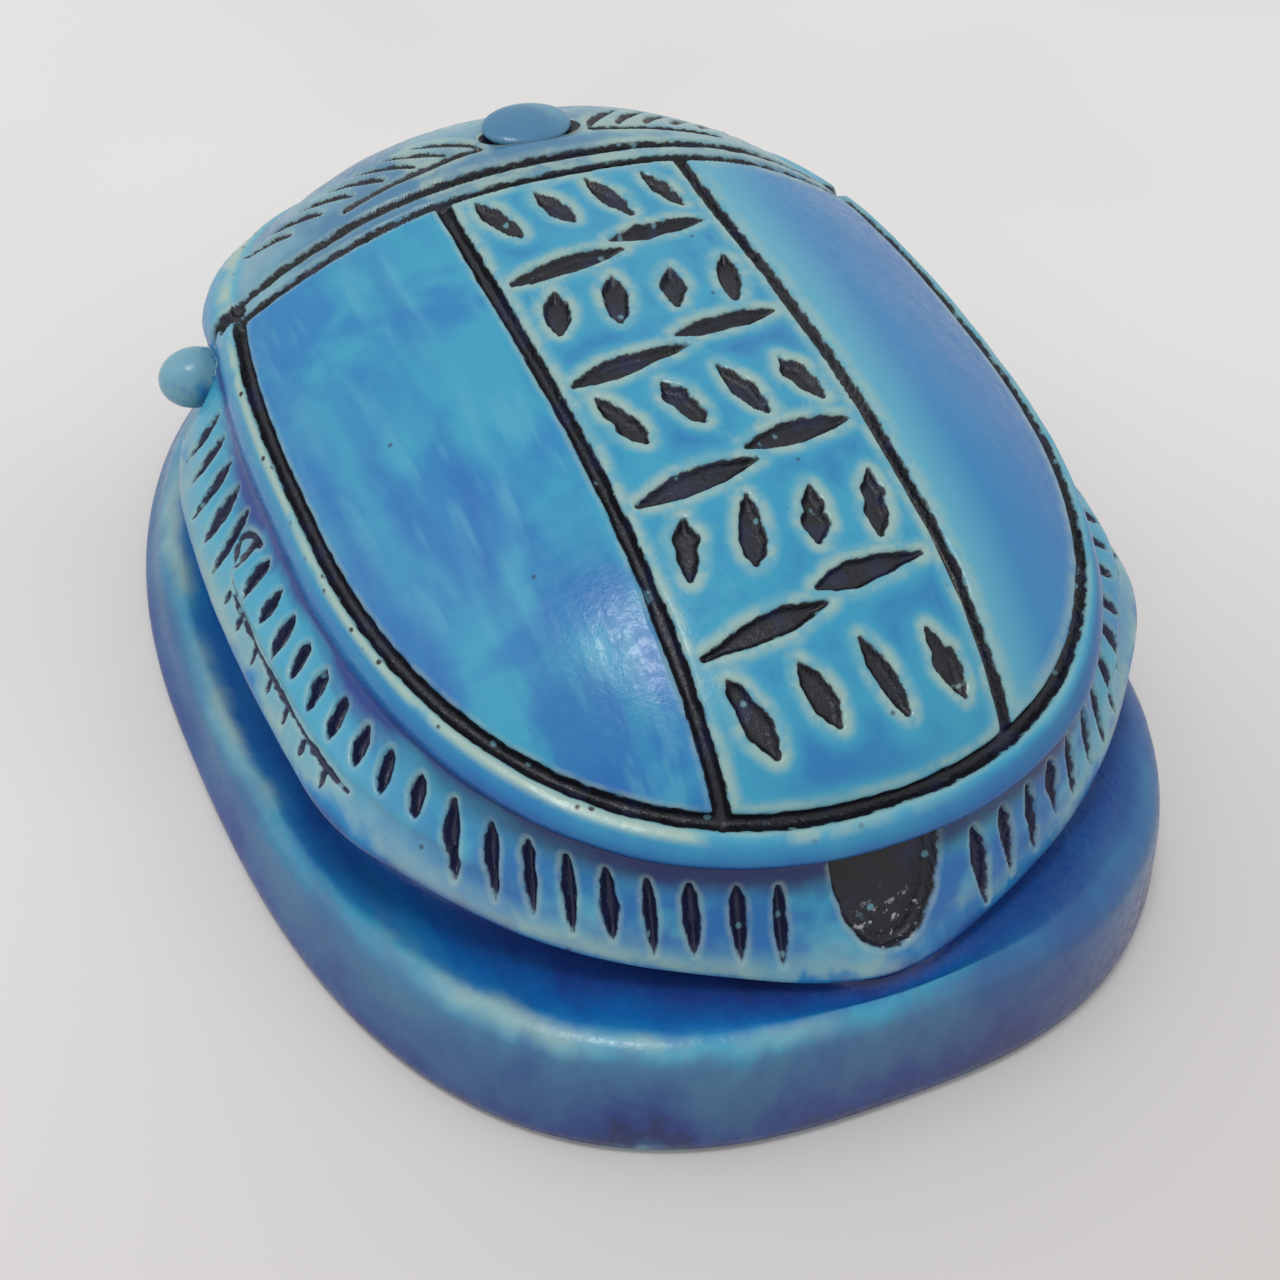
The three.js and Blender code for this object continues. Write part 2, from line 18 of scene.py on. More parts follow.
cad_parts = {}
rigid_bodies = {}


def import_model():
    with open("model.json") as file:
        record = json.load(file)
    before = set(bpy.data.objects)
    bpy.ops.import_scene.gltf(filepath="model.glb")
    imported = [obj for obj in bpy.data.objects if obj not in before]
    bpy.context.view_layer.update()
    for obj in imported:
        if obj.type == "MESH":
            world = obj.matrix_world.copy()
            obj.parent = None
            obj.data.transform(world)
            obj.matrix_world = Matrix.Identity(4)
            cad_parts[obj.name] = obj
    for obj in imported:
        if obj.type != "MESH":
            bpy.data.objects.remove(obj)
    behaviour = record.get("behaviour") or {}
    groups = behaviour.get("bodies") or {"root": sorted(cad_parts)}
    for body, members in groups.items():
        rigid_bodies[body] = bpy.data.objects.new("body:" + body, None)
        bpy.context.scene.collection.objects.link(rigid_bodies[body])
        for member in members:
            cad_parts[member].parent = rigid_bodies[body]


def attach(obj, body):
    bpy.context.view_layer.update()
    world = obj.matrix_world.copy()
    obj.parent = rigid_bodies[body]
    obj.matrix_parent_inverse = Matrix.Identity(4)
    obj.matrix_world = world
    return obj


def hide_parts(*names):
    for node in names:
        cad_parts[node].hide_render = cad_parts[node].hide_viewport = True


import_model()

LOG = logging.getLogger("scarab")
MM = 0.001
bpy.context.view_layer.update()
Colour = tuple[float, float, float]


class Level(Enum):
    """Lines of the section that colours and marks are placed by, counted from the outline groove."""

    CREASE = 6.0
    BAND_TOP = 7.0
    LIP = 10.0
    RECESS = 12.0
    UNDERSIDE = 20.0


class Merge(Enum):
    """How a form is put together with the body."""

    CUT = "DIFFERENCE"
    JOIN = "UNION"


def clamp01(value: np.ndarray) -> np.ndarray:
    """Limit values to the range 0 to 1."""
    return np.clip(value, 0.0, 1.0)


def ease(start: float, end: float, value: np.ndarray) -> np.ndarray:
    """Rise smoothly from 0 at start to 1 at end."""
    share = clamp01((np.asarray(value, float) - start) / (end - start))
    return share * share * (3 - 2 * share)


def mix(first: np.ndarray, second: np.ndarray, share: np.ndarray) -> np.ndarray:
    """Blend two values by a share."""
    return first + (second - first) * share


def hill(centre: float, width: float, value: np.ndarray) -> np.ndarray:
    """A smooth hill of height 1 round a centre."""
    return np.exp(-(((np.asarray(value, float) - centre) / width) ** 2))


@dataclass(frozen=True)
class Egg:
    """An egg-shaped outline whose rear and front halves have their own length and fullness."""

    centre_y: float
    half_width: float
    rear: float
    front: float
    rear_fullness: float
    front_fullness: float

    def point(self, angle: np.ndarray, grow: np.ndarray = 0.0) -> np.ndarray:
        """Find points of the outline.

        Args:
            angle: Directions from the centre, in radians.
            grow: How far outside the outline the points lie.

        Returns:
            An array of x and y, one row for each angle.
        """
        across, along = np.cos(angle), np.sin(angle)
        half = np.where(along > 0, self.front, self.rear) + grow
        full = np.where(along > 0, self.front_fullness, self.rear_fullness)
        side = np.abs(across) / (self.half_width + grow)
        end = np.abs(along) / half
        radius = (side**full + end**full) ** (-1 / full)
        return np.stack([radius * across, self.centre_y + radius * along], -1)

    def half_width_at(self, y: np.ndarray) -> np.ndarray:
        """Half the outline's width at places along the beetle."""
        along = np.asarray(y, float) - self.centre_y
        half = np.where(along > 0, self.front, self.rear)
        full = np.where(along > 0, self.front_fullness, self.rear_fullness)
        return self.half_width * np.maximum(0, 1 - np.abs(along / half) ** full) ** (1 / full)


@dataclass(frozen=True)
class Form:
    """The beetle and plinth before any line is carved: heights and sections in millimetres."""

    plinth: Egg = Egg(0.5, 32.4, 42.4, 41.4, 2.71, 2.17)
    back: Egg = Egg(-3.4, 24.6, 29.8, 36.0, 2.23, 2.8)
    legs: Egg = Egg(-6.5, 30.0, 30.4, 33.0, 2.4, 3.4)
    plinth_draft: float = 0.75
    shoulder_height: float = 3.6
    shoulder_rear_rise: float = 6.4
    shoulder_rounding: float = 1.8
    edge_rounding: float = 0.8
    dish_width: float = 5.0
    dish_depth: float = 0.7
    tail_dish_width: float = 1.85
    rim_height: float = 22.1
    rim_slope: float = 1.2
    rim_arch: float = 1.1
    neck_drop: float = 3.0
    wing_step: float = 0.8
    crown_rise: float = 8.2
    crown_fullness: float = 2.42
    front_drop: float = 19.5
    groove_width: float = 1.3
    wing_groove_y: float = 16.4
    thorax_groove_y: float = 18.2
    rim_bulge: float = 2.1
    rim_side_bulge: float = 1.45
    rim_tuck: float = 1.3
    rim_drop: float = 3.4
    thorax_bulge: float = 2.7
    neck_bulge: float = 0.9
    neck_height: float = 9.4
    lip_height: float = 13.6
    lip_rear_height: float = 10.2
    undercut: float = 3.2
    tail_undercut: float = 0.5
    tail_reach: float = 2.0
    tail_turn: float = 14.0
    waist: float = 1.36
    waist_turn: float = 42.0
    waist_spread: float = 26.0
    foot: float = 0.7
    foot_turn: float = 67.0
    foot_spread: float = 9.7
    leg_step: float = 0.7
    step_top: float = 0.52
    step_foot: float = 0.62
    hind_leg_start_y: float = 2.0
    middle_leg_end_y: float = -23.0
    leg_band_end_y: float = 17.5

    def rim_z(self, y: np.ndarray) -> np.ndarray:
        """Height of the groove round the back, a flat arch that falls away at the neck."""
        station = (np.asarray(y, float) - self.back.centre_y) / self.back.front
        neck = np.maximum(0, (station - 0.55) / 0.45)
        arch = self.rim_slope * station - self.rim_arch * station**2
        return self.rim_height + arch - self.neck_drop * neck**2

    def spine_z(self, y: np.ndarray) -> np.ndarray:
        """Height of the spine: an arch over the wing cases, then a fall over the thorax."""
        y = np.asarray(y, float)
        crest_y = self.back.centre_y - 3
        arch_share = clamp01((crest_y - y) / (self.back.rear - 3))
        arch = self.rim_z(y) + self.crown_rise * (1 - arch_share**2.2) ** 0.72
        start = self.thorax_groove_y - 0.6
        share = clamp01((y - start) / (self.back.centre_y + self.back.front + 2 - start))
        crest = self.rim_z(start) + self.crown_rise - self.wing_step
        fall = crest - self.front_drop * (1 - (1 - share**2.16) ** 0.46)
        arch = arch - self.wing_step * ease(crest_y, start, y)
        return mix(arch, fall, ease(start - 0.5, start + 0.5, y))

    def back_z(self, x: np.ndarray, y: np.ndarray) -> np.ndarray:
        """Height of the back over points inside its groove."""
        half = np.maximum(self.back.half_width_at(y), 0.01)
        across = clamp01(np.abs(x) / half)
        rim = self.rim_z(y)
        return rim + np.maximum(0, self.spine_z(y) - rim) * (1 - across**self.crown_fullness)

    def on_back(self, x: np.ndarray, y: np.ndarray) -> np.ndarray:
        """Points of the back over places in plan."""
        x, y = np.broadcast_arrays(np.asarray(x, float), np.asarray(y, float))
        return np.stack([x, y, self.back_z(x, y)], -1)

    def shoulder_z(self, y: np.ndarray) -> np.ndarray:
        """Height of the plinth's shoulder, which climbs to the rear."""
        station = np.asarray(y, float) / self.plinth.rear
        return self.shoulder_height + self.shoulder_rear_rise / 2 * (np.sqrt(station**2 + 0.12) - station)

    def lip_z(self, y: np.ndarray) -> np.ndarray:
        """Height of the legs' outer lip."""
        rear_end = self.legs.centre_y - self.legs.rear
        share = ease(rear_end - 4, self.legs.centre_y - self.legs.rear / 3, y)
        return mix(self.lip_rear_height, self.lip_height, share)

    def lip_grow(self, turn: np.ndarray) -> np.ndarray:
        """How far the legs' lip stands outside its egg, by degrees from the tail."""
        reach = self.tail_reach * hill(0, self.tail_turn, turn)
        waist = self.waist * hill(self.waist_turn, self.waist_spread, turn)
        return reach - waist + self.foot * hill(self.foot_turn, self.foot_spread, turn)

    def section(self, angle: np.ndarray) -> np.ndarray:
        """Work out the section from the outline groove down to the underside.

        Args:
            angle: Directions from the middle of the back, in radians.

        Returns:
            Control points of the section, as levels by angles by x, y and z.
        """
        angle = np.asarray(angle, float)
        rim_y = self.back.point(angle)[:, 1]
        top = self.rim_z(rim_y)
        thorax = ease(self.leg_band_end_y - 2, self.thorax_groove_y + 2, rim_y)
        neck = ease(self.thorax_groove_y + 4, self.back.centre_y + self.back.front - 2, rim_y)
        station = (rim_y - self.back.centre_y) / self.back.rear
        rim_bulge = mix(self.rim_bulge, self.rim_side_bulge, ease(-1, -0.2, station))
        bulge = mix(mix(rim_bulge, self.thorax_bulge, thorax), self.neck_bulge, neck)
        tuck = mix(mix(self.rim_tuck, self.thorax_bulge * 0.62, thorax), self.neck_bulge * 0.62, neck)
        turn = np.degrees(np.arccos(np.clip(-np.sin(angle), -1, 1)))
        tail = hill(0, self.tail_turn, turn)
        drop = self.rim_drop * mix(1 + 0.25 * station, 2, thorax)
        hind = 1 - ease(self.hind_leg_start_y - 0.6, self.hind_leg_start_y + 0.6, rim_y)
        middle = ease(self.middle_leg_end_y - 3, self.middle_leg_end_y + 3, rim_y)
        leg_part = 1 - thorax
        outwards = np.stack([np.cos(angle), np.sin(angle), np.full_like(angle, 0.5)], -1)

        def place(egg: Egg, grow: np.ndarray, z: np.ndarray) -> np.ndarray:
            spots = egg.point(angle, grow)
            return np.concatenate([spots, np.broadcast_to(z, angle.shape)[:, None]], 1)

        def between(first: np.ndarray, second: np.ndarray, share: float, out: np.ndarray = 0.0) -> np.ndarray:
            out = np.broadcast_to(out, angle.shape)[:, None]
            share = np.broadcast_to(share, angle.shape)[:, None]
            return mix(first, second, share) + outwards * out

        inner = self.back.point(angle, -self.groove_width / 2)
        crease = place(self.back, tuck, top - drop)
        band_top = place(self.back, tuck * 1.2, top - drop - 0.7)
        front = place(self.back, -4.0, self.neck_height)
        grow = self.lip_grow(turn)
        lip_spot = self.legs.point(angle, grow)
        lip = between(front, np.column_stack([lip_spot, self.lip_z(lip_spot[:, 1])]), leg_part)
        undercut = grow * leg_part - mix(self.undercut, self.tail_undercut, tail)
        recess = between(place(self.legs, undercut, 0.0), front, thorax)
        shoulder = place(self.plinth, -self.plinth_draft - self.shoulder_rounding, 0.0)
        shoulder[:, 2] = self.shoulder_z(shoulder[:, 1])
        edge_z = shoulder[:, 2]
        low = place(self.plinth, -self.plinth_draft - mix(self.dish_width, self.tail_dish_width, tail), 0.0)
        low[:, 2] = edge_z - self.dish_depth * mix(1, 0.4, tail)
        recess[:, 2] = mix(low[:, 2], lip[:, 2], 0.35)
        lip_under = lip.copy()
        lip_under[:, 2] = mix(lip[:, 2], recess[:, 2], 0.18)
        step = self.leg_step * hind * middle * leg_part
        side = -self.plinth_draft
        return np.stack([
            np.column_stack([inner, self.back_z(inner[:, 0], inner[:, 1])]),
            place(self.back, 0.0, top - 0.05),
            place(self.back, self.groove_width / 2, top - 0.15),
            place(self.back, bulge * 0.72, top - drop * 0.2),
            place(self.back, bulge, top - drop * 0.52),
            place(self.back, bulge * 0.92, top - drop * 0.8),
            crease,
            band_top,
            between(band_top, lip, self.step_top, step),
            between(band_top, lip, self.step_foot),
            lip,
            between(lip_under, lip_under, 0.0, -0.3),
            recess,
            between(recess, low, 0.5, -0.3),
            low,
            between(low, shoulder, 0.75, -0.1),
            shoulder,
            place(self.plinth, side - self.shoulder_rounding * 0.25, edge_z - self.shoulder_rounding * 0.35),
            place(self.plinth, side, edge_z - self.shoulder_rounding * 1.2),
            place(self.plinth, 0.0, self.edge_rounding),
            place(self.plinth, -self.edge_rounding, 0.0),
        ])

    def surface(self, disc: np.ndarray) -> tuple[np.ndarray, np.ndarray]:
        """Lay places of a flat disc on the form.

        Args:
            disc: Rows of x and y. The unit circle becomes the edge of the back, and a radius of 2 the
                edge of the underside.

        Returns:
            The points in millimetres, and each one's level: below 0 on the back, then the number of
            the section's control point that it lies by.
        """
        radius = np.hypot(disc[:, 0], disc[:, 1])
        angle = np.arctan2(disc[:, 1], disc[:, 0])
        controls = self.section(angle)
        last = len(controls) - 1
        along = np.clip((radius - 1) * (last + 1), 0, last + 1)
        knot = np.minimum(along.astype(int), last)
        share = (along - knot)[:, None]
        rows = np.arange(len(disc))
        before = controls[np.maximum(knot - 1, 0), rows]
        here = controls[knot, rows]
        after = controls[np.minimum(knot + 1, last), rows]
        start = np.where(knot[:, None] == 0, here, (before + here) / 2)
        end = np.where(knot[:, None] == last, here, (here + after) / 2)
        side = (1 - share) ** 2 * start + 2 * share * (1 - share) * here + share**2 * end
        inner = self.back.point(angle, -self.groove_width / 2)
        x = inner[:, 0] * radius
        y = mix(self.back.centre_y, inner[:, 1], radius)
        on_back = radius <= 1
        points = np.where(on_back[:, None], self.on_back(x, y), side)
        return points, np.where(on_back, radius - 1, along - 0.5)

    def on_side(self, angle: np.ndarray, level: np.ndarray) -> np.ndarray:
        """Points of the sides by direction, in radians, and level."""
        angle, level = np.broadcast_arrays(np.asarray(angle, float), np.asarray(level, float))
        radius = 1 + (level + 0.5) / (Level.UNDERSIDE.value + 1)
        return self.surface(np.stack([radius * np.cos(angle), radius * np.sin(angle)], -1))[0]

    def on_band(self, angle: np.ndarray, share: np.ndarray) -> np.ndarray:
        """Points of the leg band, from 0 at its top to 1 at its lip."""
        top, lip = Level.BAND_TOP.value, Level.LIP.value
        shares = (-0.1, 0, self.step_top, self.step_foot, 1)
        return self.on_side(angle, np.interp(share, shares, (top - 0.5, top, top + 1, top + 2, lip)))


@dataclass(frozen=True)
class Mark:
    """A carved line: a chain of points with a half width at each, how deep it is cut, and where it starts."""

    points: np.ndarray
    half: np.ndarray
    depth: float
    from_level: float = -2.0

    def reach(self, spots: np.ndarray) -> np.ndarray:
        """Signed distance from the line's edge, negative inside it."""
        best = np.full(len(spots), 1e3)
        for index in range(len(self.points) - 1):
            start, end = self.points[index], self.points[index + 1]
            line = end - start
            share = clamp01((spots - start) @ line / max(float(line @ line), 1e-9))
            gap = np.linalg.norm(spots - start - share[:, None] * line, axis=1)
            best = np.minimum(best, gap - mix(self.half[index], self.half[index + 1], share))
        return best


@dataclass
class Carving:
    """The lines cut into the form: grooves, leg hatching, feathers, tail slot and the panel's strokes."""

    form: Form
    groove_depth: float = 0.8
    ink_share: float = 0.66
    panel_width: float = 19.2
    panel_front_width: float = 17.4
    notch_width: float = 1.15
    notch_depth: float = 0.8
    notch_pitch: float = 2.4
    tick_end_y: float = -15.0
    disc_width: float = 6.4
    disc_y: float = 22.4
    disc_rise: float = 0.75
    feathers: int = 7
    feather_pitch: float = 2.2
    feather_length: float = 4.6
    feather_width: float = 0.8
    tail_slot_width: float = 7.4
    tail_slot_depth: float = 0.9
    stroke_depth: float = 0.6
    stroke_width: float = 1.6
    stroke_length: float = 4.6
    strokes_in_row: int = 4
    stroke_row_pitch: float = 5.1
    stroke_rear_margin: float = 2.0
    margin: float = 2.5
    wall_top: float = 0.12
    wall_foot: float = -0.34
    marks: list[Mark] = field(default_factory=list)

    def __post_init__(self) -> None:
        """Lay out all the marks."""
        self.random = np.random.default_rng(7)
        self.outline_groove()
        self.back_grooves()
        self.leg_notches()
        self.leg_outlines()
        self.feather_strokes()
        self.tail_slot()
        self.panel_strokes()

    def add(self, points: np.ndarray, half: np.ndarray, depth: float, waver: float = 0.06,
            from_level: float = -2.0) -> None:
        """Cut one line with a slightly unsteady width."""
        half = np.broadcast_to(half, len(points)) * (1 + waver * self.random.standard_normal(len(points)))
        self.marks.append(Mark(np.asarray(points, float), half, depth, from_level))

    def outline_groove(self) -> None:
        """The groove round the wing cases."""
        form = self.form
        angles = np.linspace(-math.pi * 1.25, math.pi * 0.25, 400)
        rim = form.back.point(angles)
        keep = rim[:, 1] < form.wing_groove_y + 0.3
        rim = rim[keep][::2]
        points = np.column_stack([rim, form.rim_z(rim[:, 1]) + 0.1])
        self.add(points, form.groove_width / 2 * self.ink_share, self.groove_depth, 0.06)

    def panel_half(self, y: np.ndarray) -> np.ndarray:
        """Half the panel's width at places along the back."""
        rear_y = self.form.back.centre_y - self.form.back.rear
        share = (np.asarray(y, float) - rear_y) / (self.form.wing_groove_y - rear_y)
        return mix(self.panel_width, self.panel_front_width, share) / 2

    def back_grooves(self) -> None:
        """The two grooves along the back and the two across it."""
        form = self.form
        for side in (-1, 1):
            ys = np.linspace(form.back.centre_y - form.back.rear, form.wing_groove_y, 600)
            ys = ys[form.back.half_width_at(ys) >= self.panel_width / 2][::12]
            half = form.groove_width / 2 * 0.8
            self.add(form.on_back(side * self.panel_half(ys), ys), half, self.groove_depth, 0.06)
        for y, over, half in ((form.wing_groove_y, -0.3, 0.36), (form.thorax_groove_y, 2.2, 0.44)):
            edge = float(form.back.half_width_at(y))
            xs = np.linspace(-edge - over, edge + over, 70)
            points = form.on_back(np.clip(xs, 0.05 - edge, edge - 0.05), np.full_like(xs, y))
            beyond = np.maximum(0, np.abs(xs) - edge)
            points[:, 0] = xs
            points[:, 2] -= beyond * 0.55 + beyond**2 * 0.35
            self.add(points, half, self.groove_depth * 0.9, 0.06)
        for side in (-1, 1):
            corner = form.on_back(side * (float(form.back.half_width_at(17.4)) - 0.1), 17.4)
            self.add(np.array([corner, corner + (side * 1.1, 0.2, -0.8)]), np.array([0.5, 0.85]), 0.8)

    def leg_notches(self) -> None:
        """Hatching down both sides, with a gap at the tail slot."""
        form = self.form
        angles = np.arange(-math.pi / 2, math.pi / 2, 0.01)
        profile = np.array([0.35, 0.85, 1.0, 0.9, 0.6, 0.15])
        for side in (-1, 1):
            turns = angles if side > 0 else math.pi - angles
            middles = form.on_band(turns, 0.5)
            travelled = 0.0
            for index in range(1, len(turns)):
                spot = middles[index]
                travelled += float(np.linalg.norm(spot - middles[index - 1]))
                if spot[1] > form.leg_band_end_y - 1.5:
                    break
                if travelled < self.notch_pitch or abs(spot[0]) < self.tail_slot_width * 0.9:
                    continue
                travelled = 0.12 * float(self.random.standard_normal())
                turn = float(turns[index])
                two_legs = form.middle_leg_end_y < spot[1] < form.hind_leg_start_y
                bottom = (0.5 if two_legs else 0.8) + 0.04 * float(self.random.standard_normal())
                lean = 0.018 * np.linspace(-1, 1, 6) if side > 0 else np.zeros(6)
                line = form.on_band(turn + lean, np.linspace(0.07, bottom, 6))
                width = self.notch_width * (0.94 + 0.1 * float(self.random.standard_normal()))
                self.add(line, width / 2 * profile, self.notch_depth, 0.1, 6.7)
                if two_legs and spot[1] > self.tick_end_y:
                    ticks = form.on_band(turn + lean, np.linspace(0.7, 0.88, 6))
                    self.add(ticks, width * 0.26 * profile, self.notch_depth * 0.6, 0.1)

    def leg_outlines(self) -> None:
        """The line under the hind leg and the small arch where it starts."""
        form = self.form
        for side in (-1, 1):
            angles = np.linspace(-0.42, 0.18, 40)
            turns = angles if side > 0 else math.pi - angles
            line = form.on_band(turns, np.full(40, 0.665))
            self.add(line, 0.1 + 0.12 * np.sin(np.linspace(0, 9, 40)) ** 2, 0.35, 0.15)
            start = 0.215 + np.array([-0.05, 0.0, 0.035, 0.045, 0.03, 0.0, -0.04])
            turns = start if side > 0 else math.pi - start
            arch = form.on_band(turns, np.array([0.6, 0.55, 0.45, 0.32, 0.2, 0.1, 0.06]))
            self.add(arch, 0.24, 0.4, 0.15)

    def feather_strokes(self) -> None:
        """Wings of slanted feather strokes to each side of the disc."""
        form = self.form
        shares = np.linspace(0, 1, 7)
        profile = self.feather_width / 2 * np.array([0.4, 0.7, 0.85, 0.9, 0.8, 0.6, 0.2])
        for side in (-1, 1):
            for index in range(self.feathers):
                x = side * (self.disc_width / 2 + 1.1 + index * self.feather_pitch)
                reach = self.feather_length * (1 - 0.04 * index)
                xs = x + side * reach * 0.75 * shares**1.3
                ys = self.disc_y - 0.9 + reach * 0.66 * shares
                self.add(form.on_back(xs, ys), profile, 0.5, 0.08)
            inner = side * (self.disc_width / 2 + 1)
            outer = side * (self.disc_width / 2 + self.feathers * self.feather_pitch * 0.7)
            border = form.on_back(mix(inner, outer, shares), self.disc_y - 1.4 - 0.8 * shares)
            self.add(border, 0.3, 0.5, 0.08)

    def tail_slot(self) -> None:
        """The dark slot under the rim at the rear, with a round lower end."""
        shares = np.array([-0.1, 0.1, 0.3, 0.48])
        half = self.tail_slot_width / 2 * np.array([1.0, 0.97, 0.88, 0.72])
        self.add(self.form.on_band(np.full(4, -math.pi / 2), shares), half, self.tail_slot_depth, 0.0, 6.3)

    def stroke(self, x: float, y: float, length: float, turn: float) -> None:
        """One stroke on the panel, turned from the x axis."""
        shares = np.linspace(-1, 1, 7)
        reach = np.array([math.cos(turn), math.sin(turn)]) * length / 2
        profile = np.array([0.3, 0.75, 1.0, 1.0, 0.9, 0.65, 0.2])
        points = self.form.on_back(x + reach[0] * shares, y + reach[1] * shares)
        self.add(points, self.stroke_width / 2 * profile, self.stroke_depth, 0.12)

    def panel_strokes(self) -> None:
        """Rows of plain strokes down the panel: short slanted ones and long level ones in turn."""
        form = self.form
        length = form.wing_groove_y - form.back.centre_y + form.back.rear - self.stroke_rear_margin
        for row in range(int(length / self.stroke_row_pitch)):
            y = form.wing_groove_y - self.stroke_row_pitch * (row + 0.65)
            half = float(self.panel_half(y))
            lean = -1 if row % 4 else 1
            if row % 2:
                self.stroke(-half * 0.4, y + 0.9 * lean, half * 0.9, 0.1)
                self.stroke(half * 0.42, y - 0.9 * lean, half * 0.8, 0.1)
                continue
            for index in range(self.strokes_in_row):
                x = half * mix(-0.68, 0.68, index / (self.strokes_in_row - 1))
                size = self.stroke_length * (1 - 0.15 * ((index + row // 2) % 2))
                self.stroke(x, y, size, math.pi / 2 + 0.3 * lean)

    def measure(self, spots: np.ndarray, levels: np.ndarray) -> tuple[np.ndarray, np.ndarray]:
        """Measure how points lie to the carved lines.

        Args:
            spots: Points in millimetres.
            levels: Each point's level.

        Returns:
            The signed distance to the nearest line's edge, and the depth to cut at each point.
        """
        margin = self.margin
        nearest = np.full(len(spots), margin)
        depth = np.zeros(len(spots))
        for mark in self.marks:
            low = mark.points.min(0) - margin - mark.half.max()
            high = mark.points.max(0) + margin + mark.half.max()
            near = ((spots > low) & (spots < high)).all(1) & (levels > mark.from_level)
            inside = np.flatnonzero(near)
            if not len(inside):
                continue
            gap = mark.reach(spots[inside])
            nearest[inside] = np.minimum(nearest[inside], gap)
            cut = mark.depth * ease(self.wall_top, self.wall_foot, gap)
            depth[inside] = np.maximum(depth[inside], cut)
        return nearest, depth


@dataclass
class BodyMesh:
    """Makes the mesh of the beetle and plinth: a flat disc, refined by the carved lines, laid on the form."""

    form: Form
    carving: Carving
    grid: int = 60
    rings: int = 72
    passes: tuple[tuple[float, float], ...] = ((0.9, 0.6), (0.5, 0.36), (0.3, 0.24))
    skin: float = 0.12
    sway: float = 0.16
    sway_scale: float = 0.11
    fine_sway: float = 0.04
    fine_sway_scale: float = 0.4

    def flat_disc(self) -> bmesh.types.BMesh:
        """A disc of squares inside the unit circle with rings round it, out to a radius of 2."""
        disc = bmesh.new()
        bmesh.ops.create_grid(disc, x_segments=self.grid, y_segments=self.grid, size=1.0)
        for vert in disc.verts:
            x, y = vert.co.x, vert.co.y
            radius = max(abs(x), abs(y))
            if radius < 1e-6:
                continue
            if abs(x) >= abs(y):
                angle = math.pi / 4 * y / x + (math.pi if x < 0 else 0.0)
            else:
                angle = math.pi / 2 * math.copysign(1, y) - math.pi / 4 * x / y
            vert.co = (radius * math.cos(angle), radius * math.sin(angle), 0.0)
        ring = [edge for edge in disc.edges if edge.is_boundary]
        for level in range(1, self.rings + 1):
            made = bmesh.ops.extrude_edge_only(disc, edges=ring)["geom"]
            radius = 1 + level / self.rings
            for vert in (item for item in made if isinstance(item, bmesh.types.BMVert)):
                vert.co = vert.co.normalized() * radius
            ring = [item for item in made if isinstance(item, bmesh.types.BMEdge) and item.is_boundary]
        return disc

    def refine(self, disc: bmesh.types.BMesh, reach: float, longest: float) -> None:
        """Halve the edges that come within reach of a carved line's edge and are too long, in millimetres."""
        disc.verts.index_update()
        flat = np.array([vert.co[:2] for vert in disc.verts])
        points, levels = self.form.surface(flat)
        gap, _ = self.carving.measure(points, levels)
        pairs = np.array([[vert.index for vert in edge.verts] for edge in disc.edges])
        near = np.abs(gap)[pairs].min(1) < reach
        span = np.linalg.norm(points[pairs[:, 0]] - points[pairs[:, 1]], axis=1)
        edges = [edge for edge, split in zip(disc.edges, near & (span > longest)) if split]
        bmesh.ops.subdivide_edges(disc, edges=edges, cuts=1, use_grid_fill=True, use_single_edge=True)

    def build(self) -> bpy.types.Object:
        """Build the carved body.

        Returns:
            The object, with its levels in the attribute "level" and its distances to the carved lines,
            before they were cut, in the attribute "ink".
        """
        disc = self.flat_disc()
        for reach, longest in self.passes:
            self.refine(disc, reach, longest)
        flat = np.array([vert.co[:2] for vert in disc.verts])
        points, levels = self.form.surface(flat)
        gap, depth = self.carving.measure(points, levels)
        level_layer = disc.verts.layers.float.new("level")
        ink_layer = disc.verts.layers.float.new("ink")
        for vert, point, level, ink in zip(disc.verts, points, levels, gap):
            vert.co = Vector(point)
            vert[level_layer] = float(level)
            vert[ink_layer] = float(ink)
        disc.normal_update()
        lower = ease(0.5, 2.5, points[:, 2])
        for vert, cut, share in zip(disc.verts, depth, lower):
            sway = noise.noise(vert.co * self.sway_scale) * self.sway
            sway += noise.noise(vert.co * self.fine_sway_scale) * self.fine_sway
            vert.co = vert.co - vert.normal * float(cut + (self.skin + sway) * share)
        rim = [edge for edge in disc.edges if edge.is_boundary]
        bmesh.ops.contextual_create(disc, geom=rim)
        bmesh.ops.recalc_face_normals(disc, faces=disc.faces)
        LOG.info("body: %d vertices, %d faces", len(disc.verts), len(disc.faces))
        return to_object("scarab_body", disc)


def to_object(name: str, shape: bmesh.types.BMesh) -> bpy.types.Object:
    """Write a shape in millimetres to a new object in metres."""
    bmesh.ops.scale(shape, vec=(MM, MM, MM), verts=shape.verts)
    mesh = bpy.data.meshes.new(name)
    shape.to_mesh(mesh)
    shape.free()
    mesh.polygons.foreach_set("use_smooth", [True] * len(mesh.polygons))
    made = bpy.data.objects.new(name, mesh)
    bpy.context.scene.collection.objects.link(made)
    return made


